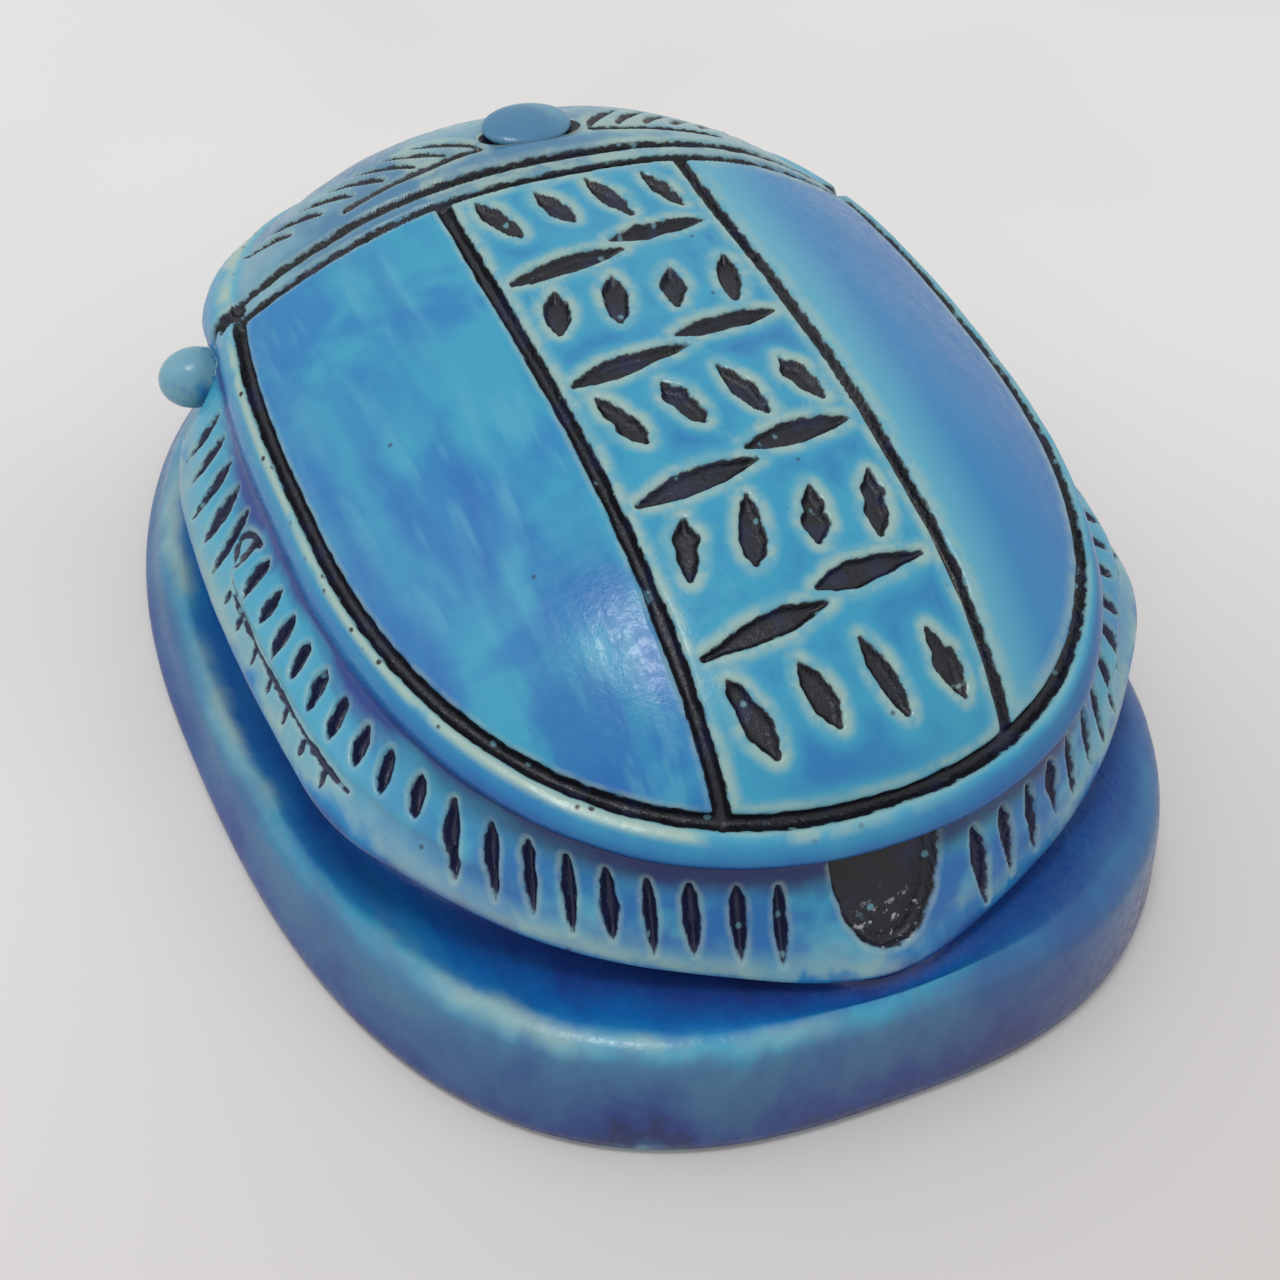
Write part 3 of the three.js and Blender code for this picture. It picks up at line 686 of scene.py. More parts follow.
@dataclass
class Extras:
    """Forms that stand out of the body: the knees, forelegs, head, eyes and the disc on the thorax."""

    form: Form
    carving: Carving
    knee_radius: float = 1.75
    knee_inset: float = 5.0
    knee_rise: float = 2.0
    foreleg_radius: float = 1.9
    foreleg_start_in: float = 2.2
    foreleg_start_drop: float = 2.4
    foreleg_inset: float = 10.0
    foreleg_bend_y: float = 7.0
    foreleg_bend_drop: float = 3.4
    foreleg_end_inset: float = 5.5
    foreleg_end_out: float = 1.0
    foreleg_end_rise: float = 1.4
    foreleg_sides: int = 28
    foreleg_steps: int = 22
    head_width: float = 23.0
    head_front_y: float = 39.6
    head_bow: float = 8.0
    head_thickness: float = 7.0
    head_teeth: int = 5
    tooth_turn: float = 0.15
    tooth_depth: float = 1.4
    head_bevel: float = 0.4
    brow_height: float = 2.6
    eye_radius: float = 2.7
    disc_oval: float = 0.72
    moat_width: float = 0.7

    def ball(self, name: str, radii: Colour, spot: Colour, low: float = 8.5, high: float = 8.5,
             ink: float = 2.5) -> bpy.types.Object:
        """A squashed ball at a place."""
        shape = bmesh.new()
        bmesh.ops.create_uvsphere(shape, u_segments=40, v_segments=26, radius=1.0)
        bmesh.ops.scale(shape, vec=radii, verts=shape.verts)
        bmesh.ops.translate(shape, vec=spot, verts=shape.verts)
        return self.finish(name, shape, low, high, ink)

    def finish(self, name: str, shape: bmesh.types.BMesh, low: float, high: float,
               ink: float = 2.5) -> bpy.types.Object:
        """Give a shape its levels and paint and write it to the scene.

        Args:
            name: The new object's name.
            shape: The closed shape, in millimetres.
            low: The level, and so the colour, at its foot.
            high: The level at its top.
            ink: The distance to paint; below 0 it is painted all over.

        Returns:
            The new object.
        """
        level_layer = shape.verts.layers.float.new("level")
        ink_layer = shape.verts.layers.float.new("ink")
        heights = [vert.co.z for vert in shape.verts]
        bottom, top = min(heights), max(heights)
        for vert in shape.verts:
            share = (vert.co.z - bottom) / (top - bottom)
            vert[level_layer] = float(mix(low, high, ease(0.6, 1.0, share)))
            vert[ink_layer] = ink
        bmesh.ops.recalc_face_normals(shape, faces=shape.faces)
        return to_object(name, shape)

    def knee(self, side: int) -> Colour:
        """The middle of a knee knob."""
        return (side * (self.form.legs.half_width - self.knee_inset), self.form.thorax_groove_y + 1.4,
                self.form.lip_height + self.knee_rise)

    def foreleg(self, side: int) -> bpy.types.Object:
        """A round leg that bends forward from the knee to the head."""
        knee = Vector(self.knee(side))
        start = knee + Vector((-side * self.foreleg_start_in, 0, -self.foreleg_start_drop))
        bend_x = side * (self.form.legs.half_width - self.foreleg_inset)
        bend = Vector((bend_x, knee.y + self.foreleg_bend_y, self.form.lip_height - self.foreleg_bend_drop))
        foot_z = float(self.form.shoulder_z(self.head_front_y)) + self.foreleg_end_rise
        foot_x = side * (self.head_width / 2 + self.foreleg_end_out)
        end = Vector((foot_x, self.head_front_y - self.foreleg_end_inset, foot_z))
        pull = bend * 2 - (start + end) / 2
        arounds = [2 * math.pi * number / self.foreleg_sides for number in range(self.foreleg_sides)]
        shape = bmesh.new()
        verts = bmesh.ops.create_circle(shape, segments=self.foreleg_sides, radius=1.0)["verts"]
        ring = first = list(shape.edges)
        for index in range(self.foreleg_steps + 1):
            share = index / self.foreleg_steps
            spot = start * (1 - share) ** 2 + pull * 2 * share * (1 - share) + end * share**2
            heading = (pull - start) * (1 - share) + (end - pull) * share
            turn = heading.to_track_quat("Z", "Y").to_matrix()
            swell = self.foreleg_radius * math.sqrt(max(0.02, 1 - max(0.0, (share - 0.86) / 0.15) ** 2))
            if index:
                grown = bmesh.ops.extrude_edge_only(shape, edges=ring)["geom"]
                verts = [item for item in grown if isinstance(item, bmesh.types.BMVert)]
                ring = [item for item in grown if isinstance(item, bmesh.types.BMEdge) and item.is_boundary]
            for vert, around in zip(verts, arounds):
                vert.co = spot + turn @ Vector((math.cos(around), 1.25 * math.sin(around), 0)) * swell
        for loop in (first, ring):
            bmesh.ops.contextual_create(shape, geom=loop)
        return self.finish(f"foreleg_{side}", shape, 8.5, 8.5)

    def head_plate(self, base: float) -> bpy.types.Object:
        """The flat head under the thorax, with a toothed front edge."""
        half = self.head_width / 2
        neck_y = self.form.back.centre_y + self.form.back.front
        cheek_y = self.head_front_y - self.head_bow
        outline = [(-half, neck_y - half), (half, neck_y - half), (half, cheek_y)]
        for index in range(self.head_teeth):
            tip = mix(self.tooth_turn, math.pi - self.tooth_turn, (index + 0.5) / self.head_teeth)
            root = mix(self.tooth_turn, math.pi - self.tooth_turn, (index + 1) / self.head_teeth)
            inner_bow = self.head_bow - self.tooth_depth
            outline.append((half * 0.92 * math.cos(tip), cheek_y + self.head_bow * math.sin(tip)))
            outline.append((half * 0.82 * math.cos(root), cheek_y + inner_bow * math.sin(root)))
        outline.append((-half, cheek_y))
        shape = bmesh.new()
        verts = [shape.verts.new((x, y, base)) for x, y in outline]
        plate = bmesh.ops.contextual_create(shape, geom=verts)["faces"]
        grown = bmesh.ops.extrude_face_region(shape, geom=plate)["geom"]
        tops = [item for item in grown if isinstance(item, bmesh.types.BMVert)]
        bmesh.ops.translate(shape, vec=(0, 0, self.head_thickness), verts=tops)
        edges = [edge for edge in shape.edges if max(vert.co.z for vert in edge.verts) > base + 1]
        bmesh.ops.bevel(shape, geom=edges, offset=self.head_bevel, affect="EDGES", segments=3, profile=0.5,
                        material=-1)
        return self.finish("head_plate", shape, 8.5, 8.5)

    def build(self) -> tuple[list[bpy.types.Object], list[bpy.types.Object]]:
        """Make all the forms.

        Returns:
            The ones to cut away first, and the ones to join.
        """
        form = self.form
        disc_z = float(form.back_z(0.0, self.carving.disc_y + 0.2))
        disc = (0.0, self.carving.disc_y + 0.2, disc_z)
        half = self.carving.disc_width / 2
        rise = self.carving.disc_rise
        sizes = (half + self.moat_width, half * self.disc_oval + self.moat_width, rise * 0.7)
        moat = self.ball("moat", sizes, disc, 6.0, 6.0, -0.6)
        joined = [self.ball("disc", (half, half * self.disc_oval, rise), disc, -0.5, -0.5, 1.2)]
        cheek_y = self.head_front_y - self.head_bow
        base = float(form.shoulder_z(self.head_front_y)) - 1
        top = base + self.head_thickness
        joined.append(self.head_plate(base))
        sizes = (self.head_width * 0.4, self.head_bow * 0.8, self.brow_height)
        joined.append(self.ball("brow", sizes, (0, cheek_y, top)))
        radius = self.knee_radius
        for side in (-1, 1):
            sizes = (radius * 1.45, radius * 1.2, radius * 1.2)
            joined.append(self.ball(f"knee_{side}", sizes, self.knee(side), 9.8, 9.4, 0.9))
            joined.append(self.foreleg(side))
            eye = (side * self.head_width / 2, cheek_y, base + self.head_thickness * 0.9)
            sizes = (self.eye_radius, self.eye_radius * 1.2, self.eye_radius * 0.9)
            joined.append(self.ball(f"eye_{side}", sizes, eye))
        return [moat], joined


def combine(body: bpy.types.Object, parts: list[bpy.types.Object], merge: Merge) -> None:
    """Cut parts from a body or join them to it, and delete the parts."""
    for part in parts:
        step = body.modifiers.new(part.name, "BOOLEAN")
        step.object = part
        step.operation = merge.value
        step.solver = "MANIFOLD"
    graph = bpy.context.evaluated_depsgraph_get()
    mesh = bpy.data.meshes.new_from_object(body.evaluated_get(graph))
    body.modifiers.clear()
    body.data = mesh
    for part in parts:
        bpy.data.objects.remove(part)


@dataclass
class Sheet:
    """A node tree with short ways to add nodes and join them."""

    tree: bpy.types.NodeTree

    def node(self, kind: str, label: str = "", **inputs: object) -> bpy.types.Node:
        """Add a node and set or link its inputs.

        Args:
            kind: The node's type name without "ShaderNode".
            label: A name for a person to read.
            **inputs: Values or output sockets, by input name with underscores for spaces.

        Returns:
            The new node.
        """
        made = self.tree.nodes.new("ShaderNode" + kind)
        made.label = label
        for name, value in inputs.items():
            self.feed(made.inputs[name.replace("_", " ")], value)
        return made

    def feed(self, socket: bpy.types.NodeSocket, value: object) -> None:
        """Link an output to a socket, or set the socket's own value."""
        if isinstance(value, bpy.types.NodeSocket):
            self.tree.links.new(value, socket)
        elif isinstance(value, (tuple, list)) and len(value) == 3 and socket.type == "RGBA":
            socket.default_value = (*value, 1.0)
        else:
            socket.default_value = value

    def math(self, operation: str, first: object, second: object = 0.0) -> bpy.types.NodeSocket:
        """Work out a number."""
        made = self.tree.nodes.new("ShaderNodeMath")
        made.operation = operation
        for socket, value in zip(made.inputs, (first, second)):
            self.feed(socket, value)
        return made.outputs[0]

    def plus(self, first: object, second: object) -> bpy.types.NodeSocket:
        """Add two numbers."""
        return self.math("ADD", first, second)

    def times(self, *values: object) -> bpy.types.NodeSocket:
        """Multiply numbers."""
        product = values[0]
        for value in values[1:]:
            product = self.math("MULTIPLY", product, value)
        return product

    def span(self, value: object, low: float, high: float, start: float = 0.0,
             end: float = 1.0) -> bpy.types.NodeSocket:
        """Map a value from one range to another with soft, limited ends."""
        made = self.tree.nodes.new("ShaderNodeMapRange")
        made.interpolation_type = "SMOOTHSTEP"
        names = ("Value", "From Min", "From Max", "To Min", "To Max")
        for name, number in zip(names, (value, low, high, start, end)):
            self.feed(made.inputs[name], number)
        return made.outputs["Result"]

    def band(self, value: object, low: float, high: float, soft: float) -> bpy.types.NodeSocket:
        """A mask that is 1 between two values."""
        rising = self.span(value, low - soft, low + soft)
        return self.times(rising, self.span(value, high + soft, high - soft))

    def blend(self, share: object, first: object, second: object) -> bpy.types.NodeSocket:
        """Blend two colours."""
        made = self.tree.nodes.new("ShaderNodeMix")
        made.data_type = "RGBA"
        self.feed(made.inputs["Factor"], share)
        self.feed(made.inputs["A"], first)
        self.feed(made.inputs["B"], second)
        return made.outputs["Result"]

    def lay(self, colour: object, coat: object, *masks: object) -> bpy.types.NodeSocket:
        """Lay a coat over a colour where every mask is high."""
        return self.blend(self.times(*masks), colour, coat)

    def patches(self, where: object, scale: float, low: float, high: float, detail: float = 3.0,
                bend: float = 0.0) -> bpy.types.NodeSocket:
        """Place the shared group of soft patches: 0 where its noise is low, 1 where it is high."""
        made = self.tree.nodes.new("ShaderNodeGroup")
        made.node_tree = patches_group()
        values = {"Place": where, "Scale": scale, "Low": low, "High": high, "Detail": detail, "Bend": bend}
        for name, value in values.items():
            self.feed(made.inputs[name], value)
        return made.outputs["Mask"]

    def swing(self, size: float, where: object, scale: float, detail: float = 3.0,
              bend: float = 0.0) -> bpy.types.NodeSocket:
        """Soft patches that swing by half a size to each side of 0."""
        return self.times(self.math("SUBTRACT", self.patches(where, scale, 0.3, 0.7, detail, bend), 0.5), size)

    def attribute(self, name: str) -> bpy.types.NodeSocket:
        """Read a number that the mesh carries."""
        made = self.tree.nodes.new("ShaderNodeAttribute")
        made.attribute_name = name
        return made.outputs["Fac"]

    def ramp(self, value: object, stops: list[tuple[float, Colour]]) -> bpy.types.NodeSocket:
        """Colours along a value."""
        made = self.tree.nodes.new("ShaderNodeValToRGB")
        band = made.color_ramp
        while len(band.elements) < len(stops):
            band.elements.new(0.5)
        for element, (place, colour) in zip(band.elements, stops):
            element.position = place
            element.color = (*colour, 1.0)
        self.feed(made.inputs["Fac"], value)
        return made.outputs["Color"]


def patches_group() -> bpy.types.NodeTree:
    """The group of soft patches, made once and used by every material.

    Returns:
        A shader node group with inputs for the place, scale, limits, detail and bend, and a mask.
    """
    made = bpy.data.node_groups.get("soft_patches")
    if made is not None:
        return made
    made = bpy.data.node_groups.new("soft_patches", "ShaderNodeTree")
    made.interface.new_socket("Place", in_out="INPUT", socket_type="NodeSocketVector")
    for name in ("Scale", "Low", "High", "Detail", "Bend"):
        made.interface.new_socket(name, in_out="INPUT", socket_type="NodeSocketFloat")
    made.interface.new_socket("Mask", in_out="OUTPUT", socket_type="NodeSocketFloat")
    sheet = Sheet(made)
    given = made.nodes.new("NodeGroupInput").outputs
    cloud = sheet.node("TexNoise", Vector=given["Place"], Scale=given["Scale"], Detail=given["Detail"],
                       Roughness=0.58, Distortion=given["Bend"])
    mask = sheet.span(cloud.outputs["Fac"], given["Low"], given["High"])
    sheet.feed(made.nodes.new("NodeGroupOutput").inputs["Mask"], mask)
    return made


@dataclass(frozen=True)
class BlueGlaze:
    """Turquoise to cobalt glaze over pale stone, with near-black paint in the carved lines."""

    turquoise: Colour = (0.030, 0.290, 0.445)
    light: Colour = (0.085, 0.350, 0.475)
    middle: Colour = (0.012, 0.185, 0.420)
    deep: Colour = (0.005, 0.110, 0.370)
    cobalt: Colour = (0.012, 0.048, 0.225)
    navy: Colour = (0.010, 0.020, 0.095)
    violet: Colour = (0.028, 0.036, 0.130)
    steel: Colour = (0.030, 0.110, 0.260)
    cream: Colour = (0.340, 0.450, 0.370)
    pale: Colour = (0.150, 0.330, 0.410)
    slate: Colour = (0.055, 0.180, 0.310)
    ink: Colour = (0.006, 0.007, 0.011)
    ink_violet: Colour = (0.010, 0.014, 0.058)
    # The colour of the painted glints in the tail slot.
    painted_glint: Colour = (0.420, 0.420, 0.460)
    panel_half: float = 9.3

    def build(self) -> bpy.types.Material:
        """Make the material."""
        material = bpy.data.materials.new("blue_glaze")
        material.use_nodes = True
        sheet = Sheet(material.node_tree)
        shader = material.node_tree.nodes["Principled BSDF"]
        place = sheet.node("TexCoord").outputs["Object"]
        mm = sheet.node("Mapping", "millimetres", Vector=place, Scale=(1000.0, 1000.0, 1000.0)).outputs[0]
        brushed = sheet.node("Mapping", "brush marks", Vector=mm, Rotation=(0.0, 0.0, 0.15),
                             Scale=(1.0, 0.14, 0.5)).outputs[0]
        axes = sheet.node("SeparateXYZ", Vector=mm)
        gap = sheet.attribute("ink")
        level = sheet.attribute("level")
        colour = self.back(sheet, axes, gap, mm, brushed)
        colour = sheet.lay(colour, self.sides(sheet, axes, level, mm, brushed), sheet.span(level, 0.6, 1.6))
        colour = self.halo(sheet, colour, gap, axes, level, mm)
        colour = self.wear(sheet, colour, axes, level, mm)
        colour, painted = self.paint(sheet, colour, gap, axes, level, mm)
        colour = self.specks(sheet, colour, painted, mm)
        sheet.feed(shader.inputs["Base Color"], colour)
        pores = sheet.patches(mm, 1.4, 0.35, 0.65)
        rough = sheet.plus(sheet.span(pores, 0.0, 1.0, 0.22, 0.34), sheet.times(painted, 0.08))
        sheet.feed(shader.inputs["Roughness"], rough)
        shader.inputs["IOR"].default_value = 1.46
        swell = sheet.patches(brushed, 0.35, 0.3, 0.7)
        grit = sheet.times(sheet.patches(mm, 2.6, 0.35, 0.65), sheet.plus(sheet.times(painted, 0.4), 0.1))
        height = sheet.plus(sheet.times(swell, 0.5), grit)
        bump = sheet.node("Bump", Strength=0.35, Distance=0.00015, Height=height)
        sheet.feed(shader.inputs["Normal"], bump.outputs[0])
        return material

    def back(self, sheet: Sheet, axes: bpy.types.Node, gap: object, mm: object,
             brushed: object) -> bpy.types.NodeSocket:
        """The wing cases' mottled blue and the panel's paler turquoise."""
        x, y = axes.outputs["X"], axes.outputs["Y"]
        across = sheet.math("ABSOLUTE", x)
        left = sheet.lay(self.middle, self.turquoise, sheet.patches(mm, 0.075, 0.42, 0.58, 3.0, 0.6))
        left = sheet.lay(left, self.light, sheet.patches(brushed, 0.30, 0.54, 0.70), 0.5)
        left = sheet.lay(left, self.deep, sheet.patches(brushed, 0.17, 0.54, 0.40), 0.75)
        low = sheet.span(y, -8.0, -20.0)
        left = sheet.lay(left, self.deep, low, sheet.patches(brushed, 0.15, 0.44, 0.58, 2.0, 0.4), 0.6)
        streaks = sheet.patches(brushed, 0.7, 0.52, 0.66, 2.0)
        left = sheet.lay(left, self.light, streaks, sheet.patches(mm, 0.1, 0.4, 0.6), 0.4)
        left = sheet.lay(left, self.deep, sheet.span(across, 19.0, 24.0), 0.35)
        right = sheet.lay(self.light, self.middle, sheet.span(across, 10.0, 15.5))
        right = sheet.lay(right, self.deep, sheet.span(across, 15.0, 24.0), 0.55)
        right = sheet.lay(right, self.turquoise, sheet.patches(mm, 0.06, 0.45, 0.65), 0.3)
        wings = sheet.lay(left, right, sheet.span(x, -2.0, 2.0))
        open_field = sheet.span(gap, 0.5, 1.9)
        panel = sheet.lay(self.turquoise, self.deep, open_field, sheet.patches(mm, 0.2, 0.32, 0.66, 2.0), 0.7)
        thorax = sheet.lay(self.slate, self.pale, sheet.patches(mm, 0.12, 0.4, 0.6))
        wings = sheet.lay(wings, thorax, sheet.span(y, 16.6, 17.0))
        inside = sheet.span(across, self.panel_half + 0.5, self.panel_half - 0.4)
        return sheet.lay(wings, panel, inside, sheet.span(y, 17.0, 16.6))

    def sides(self, sheet: Sheet, axes: bpy.types.Node, level: object, mm: object,
              brushed: object) -> bpy.types.NodeSocket:
        """The colours from the moulding down to the table, with painted shade in the crease and the recess,
        towards the rear and right and at the foot, and a painted reflection on the bottom edge.
        """
        wavy = sheet.plus(level, sheet.swing(1.1, mm, 0.07, 4.0, 0.8))
        frayed = sheet.plus(wavy, sheet.swing(0.5, brushed, 0.5))
        colours = sheet.ramp(sheet.math("DIVIDE", frayed, Level.UNDERSIDE.value), [
            (0.08, self.light), (0.13, self.turquoise), (0.20, self.middle), (0.25, self.deep),
            # The cobalt at 0.285 to 0.325 is painted shade in the crease under the moulding.
            (0.285, self.cobalt), (0.325, self.cobalt), (0.365, self.turquoise), (0.43, self.light),
            # The cobalt and navy from 0.54 to 0.67 are painted shade in the recess under the legs' lip, over
            # the glaze's own blue.
            (0.485, self.pale), (0.505, self.middle), (0.54, self.cobalt), (0.61, self.navy),
            (0.67, self.cobalt), (0.73, self.deep), (0.78, self.middle), (0.82, self.turquoise),
            # The cobalt and navy at 0.95 and 0.972 are a painted shadow line low on the wall, where it meets
            # the table.
            (0.865, self.slate), (0.92, self.steel), (0.95, self.cobalt), (0.972, self.navy),
            # The pale at 1.0 is a painted reflection of the table on the bottom edge.
            (0.99, self.steel), (1.0, self.pale),
        ])
        x, y = axes.outputs["X"], axes.outputs["Y"]
        rear = sheet.span(y, -12.0, -30.0)
        # shade marks the rear and the right, away from the light, where painted shade is laid.
        shade = sheet.times(sheet.span(y, -8.0, -30.0), sheet.span(x, -8.0, 22.0, 0.25, 1.0))
        moulding = sheet.band(level, 2.4, Level.CREASE.value, 0.5)
        # The moulding turns cobalt towards the rear and right: partly the glaze's own deeper blue, partly
        # painted shade.
        colours = sheet.lay(colours, self.cobalt, moulding, shade, 0.7)
        band = sheet.band(level, Level.BAND_TOP.value + 0.2, Level.LIP.value - 0.6, 0.5)
        colours = sheet.lay(colours, self.deep, band, sheet.patches(mm, 0.13, 0.40, 0.56), rear, 0.9)
        # Painted shade: navy in the crease under the moulding, towards the rear.
        painted_crease_shade = sheet.band(level, Level.CREASE.value - 0.4, Level.BAND_TOP.value + 0.2, 0.35)
        colours = sheet.lay(colours, self.navy, painted_crease_shade, rear, 0.85)
        # Streaky cobalt in the recess under the lip: partly brush streaks in the glaze, partly painted shade.
        below = sheet.span(level, Level.RECESS.value - 1, Level.RECESS.value + 1)
        recess_streaks_and_shade = sheet.patches(brushed, 0.11, 0.42, 0.66, 4.0, 0.5)
        colours = sheet.lay(colours, self.cobalt, recess_streaks_and_shade, below, 0.5)
        # Cobalt on the plinth's top towards the right: partly the glaze's own deeper blue, partly painted
        # shade on the side away from the light.
        right = sheet.span(x, -4.0, 14.0)
        colours = sheet.lay(colours, self.cobalt, sheet.band(wavy, 14.0, 17.5, 0.8), right, 0.6)
        # Violet on the rear-right wall, darker towards the foot: partly purple staining, partly painted shade.
        wall = sheet.times(sheet.span(level, 16.6, 18.0), shade)
        lower = sheet.span(axes.outputs["Z"], 7.5, 1.5, 0.15, 1.0)
        colours = sheet.lay(colours, self.violet, wall, lower, 0.7)
        edge = sheet.times(sheet.band(wavy, 15.7, 16.7, 0.6), sheet.span(x, 4.0, -16.0))
        return sheet.lay(colours, self.cream, edge, sheet.patches(mm, 0.1, 0.35, 0.6), 0.6)

    def halo(self, sheet: Sheet, colour: object, gap: object, axes: bpy.types.Node, level: object,
             mm: object) -> bpy.types.NodeSocket:
        """The pale glaze beside each painted line: wide on the panel and the right wing case."""
        x = axes.outputs["X"]
        across = sheet.math("ABSOLUTE", x)
        top = sheet.span(level, 0.6, 0.0)
        panel = sheet.times(top, sheet.span(across, self.panel_half + 0.4, self.panel_half - 0.4))
        right = sheet.times(top, sheet.span(x, self.panel_half, self.panel_half + 0.8))
        reach = sheet.plus(sheet.plus(sheet.times(panel, 0.55), sheet.times(right, 0.9)), 0.5)
        near = sheet.span(sheet.math("DIVIDE", gap, reach), 1.0, 0.15)
        strength = sheet.plus(sheet.plus(sheet.times(panel, 0.35), sheet.times(right, 0.1)), 0.4)
        broken = sheet.span(sheet.patches(mm, 0.55, 0.32, 0.62), 0.0, 1.0, 0.35, 1.0)
        return sheet.lay(colour, self.cream, near, strength, broken)

    def wear(self, sheet: Sheet, colour: object, axes: bpy.types.Node, level: object,
             mm: object) -> bpy.types.NodeSocket:
        """Cream stone that shows through on the moulding's upper edge, with dark specks."""
        strip = sheet.times(sheet.band(level, 1.7, 2.7, 0.4), sheet.patches(mm, 0.22, 0.34, 0.52),
                            sheet.span(axes.outputs["X"], 8.0, -12.0))
        colour = sheet.lay(colour, self.cream, strip, 0.85)
        lip = sheet.band(level, Level.LIP.value - 0.4, Level.LIP.value + 0.2, 0.3)
        colour = sheet.lay(colour, self.cream, lip, sheet.patches(mm, 0.18, 0.42, 0.60), 0.45)
        dots = sheet.node("TexVoronoi", "specks", Vector=mm, Scale=0.9).outputs["Distance"]
        return sheet.lay(colour, self.ink, sheet.span(dots, 0.22, 0.12), strip)

    def paint(self, sheet: Sheet, colour: object, gap: object, axes: bpy.types.Node, level: object,
              mm: object) -> tuple[bpy.types.NodeSocket, bpy.types.NodeSocket]:
        """Near-black paint with ragged edges in the carved lines, and painted glints, bright flecks, at the
        lower end of the tail slot.

        Args:
            sheet: The material's node tree.
            colour: The glaze under the paint.
            gap: The distance to the nearest carved line.
            axes: The place's x, y and z, in millimetres.
            level: The place down the section.
            mm: The place in millimetres.

        Returns:
            The painted colour, and the mask of the paint.
        """
        edge = sheet.plus(gap, sheet.swing(0.11, mm, 1.3))
        missing = sheet.times(sheet.patches(mm, 0.5, 0.68, 0.76), 0.7)
        painted = sheet.times(sheet.span(edge, 0.06, -0.06), sheet.math("SUBTRACT", 1.0, missing))
        slot = sheet.times(sheet.span(axes.outputs["Y"], -29.0, -31.0), sheet.span(level, 6.2, 7.0),
                           sheet.span(sheet.math("ABSOLUTE", axes.outputs["X"]), 5.6, 4.8))
        band = sheet.times(sheet.band(level, 6.8, 10.5, 0.5), sheet.math("SUBTRACT", 1.0, slot), 0.8)
        spots = sheet.times(sheet.patches(mm, 0.4, 0.5, 0.66), 0.6)
        ink = sheet.lay(self.ink, self.ink_violet, sheet.math("MAXIMUM", band, spots))
        # Painted highlight: bright flecks that stand for glints on the glossy paint at the slot's lower end.
        flecks = sheet.patches(mm, 1.7, 0.60, 0.70)
        ink = sheet.lay(ink, self.painted_glint, flecks, slot, sheet.span(level, 7.4, 8.2), 0.8)
        return sheet.blend(painted, colour, ink), painted

    def specks(self, sheet: Sheet, colour: object, painted: object, mm: object) -> bpy.types.NodeSocket:
        """Pale bubbles in the paint, and a few dark pits in the glaze."""
        bubbles = sheet.node("TexVoronoi", "bubbles", Vector=mm, Scale=0.5).outputs["Distance"]
        colour = sheet.lay(colour, self.pale, sheet.span(bubbles, 0.15, 0.08), painted, 0.7)
        pits = sheet.node("TexVoronoi", "pits", Vector=mm, Scale=0.21).outputs["Distance"]
        return sheet.lay(colour, self.ink_violet, sheet.span(pits, 0.05, 0.02), 0.7)


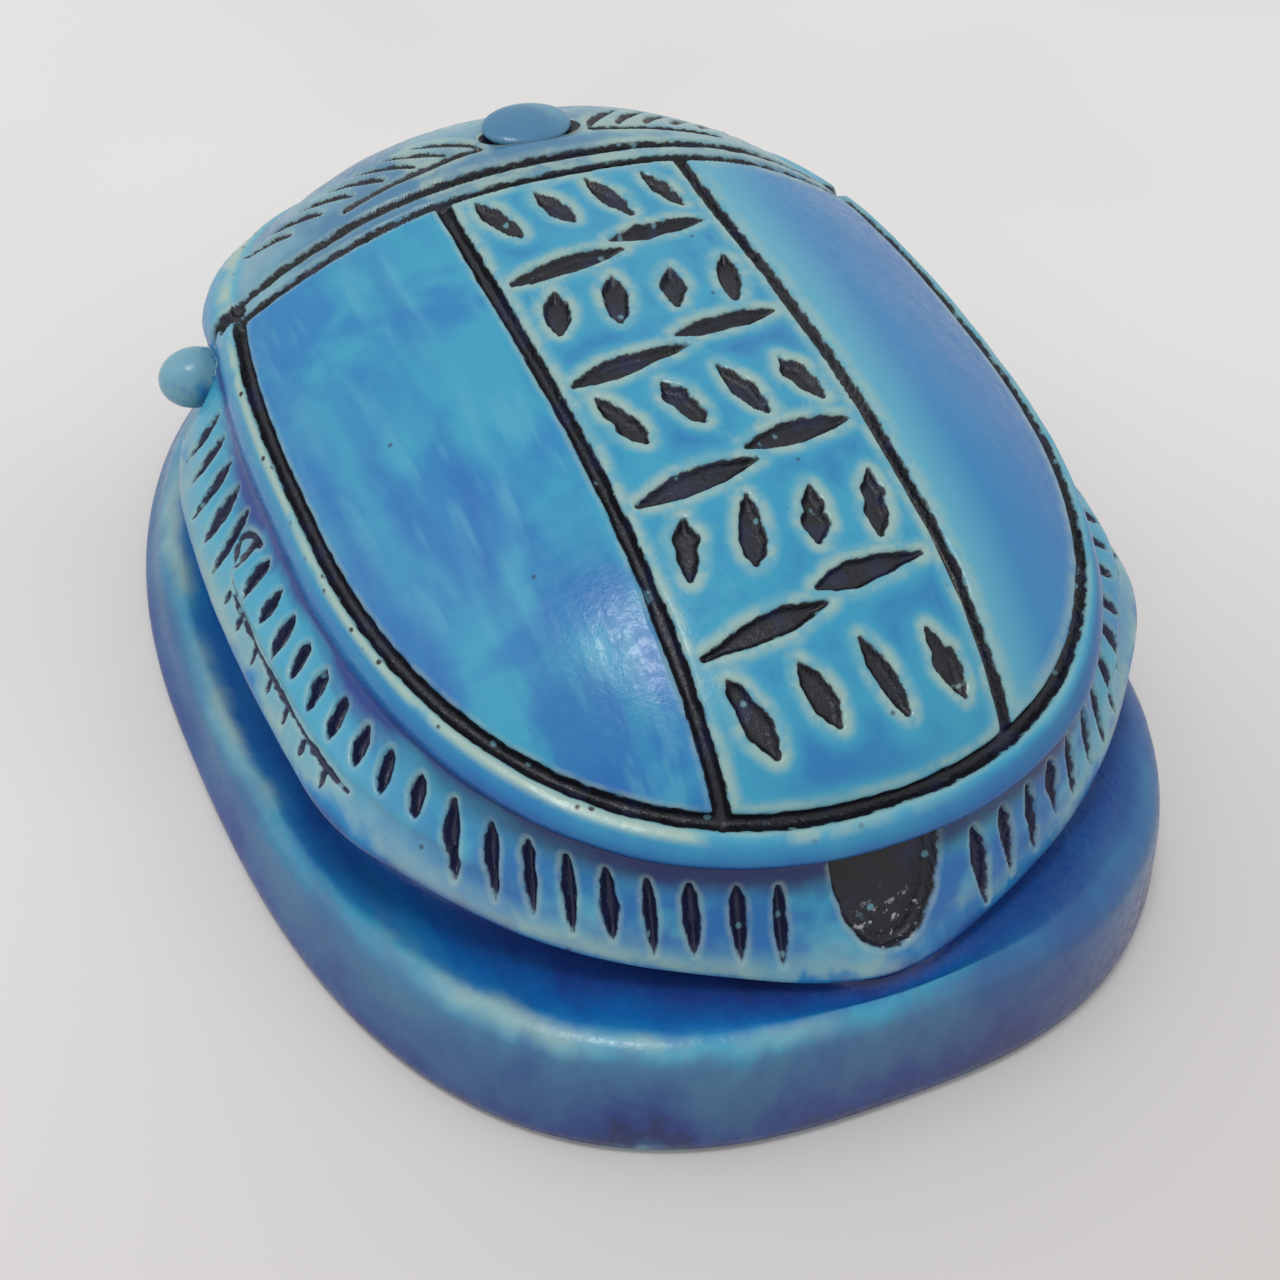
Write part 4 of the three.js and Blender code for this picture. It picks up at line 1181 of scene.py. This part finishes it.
@dataclass
class Stage:
    """The pale floor, the soft light and the camera."""

    floor_colour: Colour = (0.740, 0.715, 0.690)
    # The darker floor colour serves both the faint streaks and the painted shade on the near side.
    floor_streaks_and_shade: Colour = (0.600, 0.572, 0.548)
    camera_spot: Colour = (-59.25, -105.09, 130.36)
    camera_turn: float = -0.524
    camera_tilt: float = 0.8234
    camera_roll: float = 0.1364
    focal_pixels: float = 2462.3
    frame_pixels: float = 1280.0
    sensor_mm: float = 36.0

    def floor(self) -> None:
        """A plain pale table top, with faint darker streaks and painted shade that darkens it towards the near
        side.
        """
        shape = bmesh.new()
        bmesh.ops.create_grid(shape, x_segments=1, y_segments=1, size=3.0)
        mesh = bpy.data.meshes.new("floor")
        shape.to_mesh(mesh)
        shape.free()
        table = bpy.data.objects.new("floor", mesh)
        bpy.context.scene.collection.objects.link(table)
        material = bpy.data.materials.new("pale_floor")
        material.use_nodes = True
        sheet = Sheet(material.node_tree)
        shader = material.node_tree.nodes["Principled BSDF"]
        place = sheet.node("TexCoord").outputs["Object"]
        cloud = sheet.times(sheet.patches(place, 9.0, 0.35, 0.65), 0.4)
        # Painted shade: the floor darkens towards the near side; the streaks are the table's own marks.
        near = sheet.span(sheet.node("SeparateXYZ", Vector=place).outputs["Y"], 0.02, -0.07)
        shade = sheet.math("MAXIMUM", cloud, near)
        sheet.feed(shader.inputs["Base Color"], sheet.blend(shade, self.floor_colour, self.floor_streaks_and_shade))
        shader.inputs["Roughness"].default_value = 0.6
        mesh.materials.append(material)

    def camera(self) -> None:
        """The camera, at the angle the object is seen from."""
        turn, tilt, roll = self.camera_turn, self.camera_tilt, self.camera_roll
        back = Vector((math.sin(turn) * math.cos(tilt), -math.cos(turn) * math.cos(tilt), math.sin(tilt)))
        right = Vector((math.cos(turn), math.sin(turn), 0.0))
        up = back.cross(right)
        across = right * math.cos(roll) + up * math.sin(roll)
        upwards = up * math.cos(roll) - right * math.sin(roll)
        lens = bpy.data.cameras.new("camera")
        lens.sensor_width = self.sensor_mm
        lens.lens = self.focal_pixels * self.sensor_mm / self.frame_pixels
        lens.clip_start = 0.005
        viewer = bpy.data.objects.new("camera", lens)
        pose = Matrix((across, upwards, back)).transposed().to_4x4()
        pose.translation = Vector(self.camera_spot) * MM
        viewer.matrix_world = pose
        bpy.context.scene.collection.objects.link(viewer)
        bpy.context.scene.camera = viewer

    def lamp(self, name: str, direction: Colour, distance: float, size: float, power: float,
             colour: Colour) -> None:
        """A square soft light that faces the object."""
        light = bpy.data.lights.new(name, "AREA")
        light.size = size
        light.energy = power
        light.color = colour
        lamp = bpy.data.objects.new(name, light)
        heading = Vector(direction).normalized()
        pose = heading.to_track_quat("Z", "Y").to_matrix().to_4x4()
        pose.translation = heading * distance
        lamp.matrix_world = pose
        bpy.context.scene.collection.objects.link(lamp)

    def build(self) -> None:
        """Set up the floor, lights and camera."""
        self.floor()
        self.camera()
        self.lamp("ceiling", (-0.22, -0.08, 0.97), 0.9, 0.2, 2.0, (1.0, 0.98, 0.96))
        self.lamp("window", (-0.75, 0.35, 0.75), 1.2, 0.9, 1.6, (0.96, 0.98, 1.0))
        world = bpy.data.worlds.new("soft_sky")
        world.use_nodes = True
        world.node_tree.nodes["Background"].inputs["Color"].default_value = (0.95, 0.97, 1.0, 1.0)
        world.node_tree.nodes["Background"].inputs["Strength"].default_value = 0.82
        bpy.context.scene.world = world
        bpy.context.scene.view_settings.view_transform = "Standard"


def clear_defaults() -> None:
    """Remove what a new scene starts with."""
    for name in ("Cube", "Light", "Camera"):
        start = bpy.data.objects.get(name)
        if start is not None:
            bpy.data.objects.remove(start)


def main() -> None:
    """Build the scarab, dress it and set the stage."""
    logging.basicConfig(level=logging.INFO, format="%(message)s")
    clear_defaults()
    Stage().build()
    form = Form()
    carving = Carving(form)
    LOG.info("%d marks", len(carving.marks))
    scarab = BodyMesh(form, carving).build()
    cuts, joins = Extras(form, carving).build()
    combine(scarab, cuts, Merge.CUT)
    combine(scarab, joins, Merge.JOIN)
    scarab.name = "carved_scarab"
    scarab.data.materials.clear()
    scarab.data.materials.append(BlueGlaze().build())
    LOG.info("scarab: %d faces", len(scarab.data.polygons))
    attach(scarab, "root")
    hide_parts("scarab")


if __name__ == "__main__":
    main()
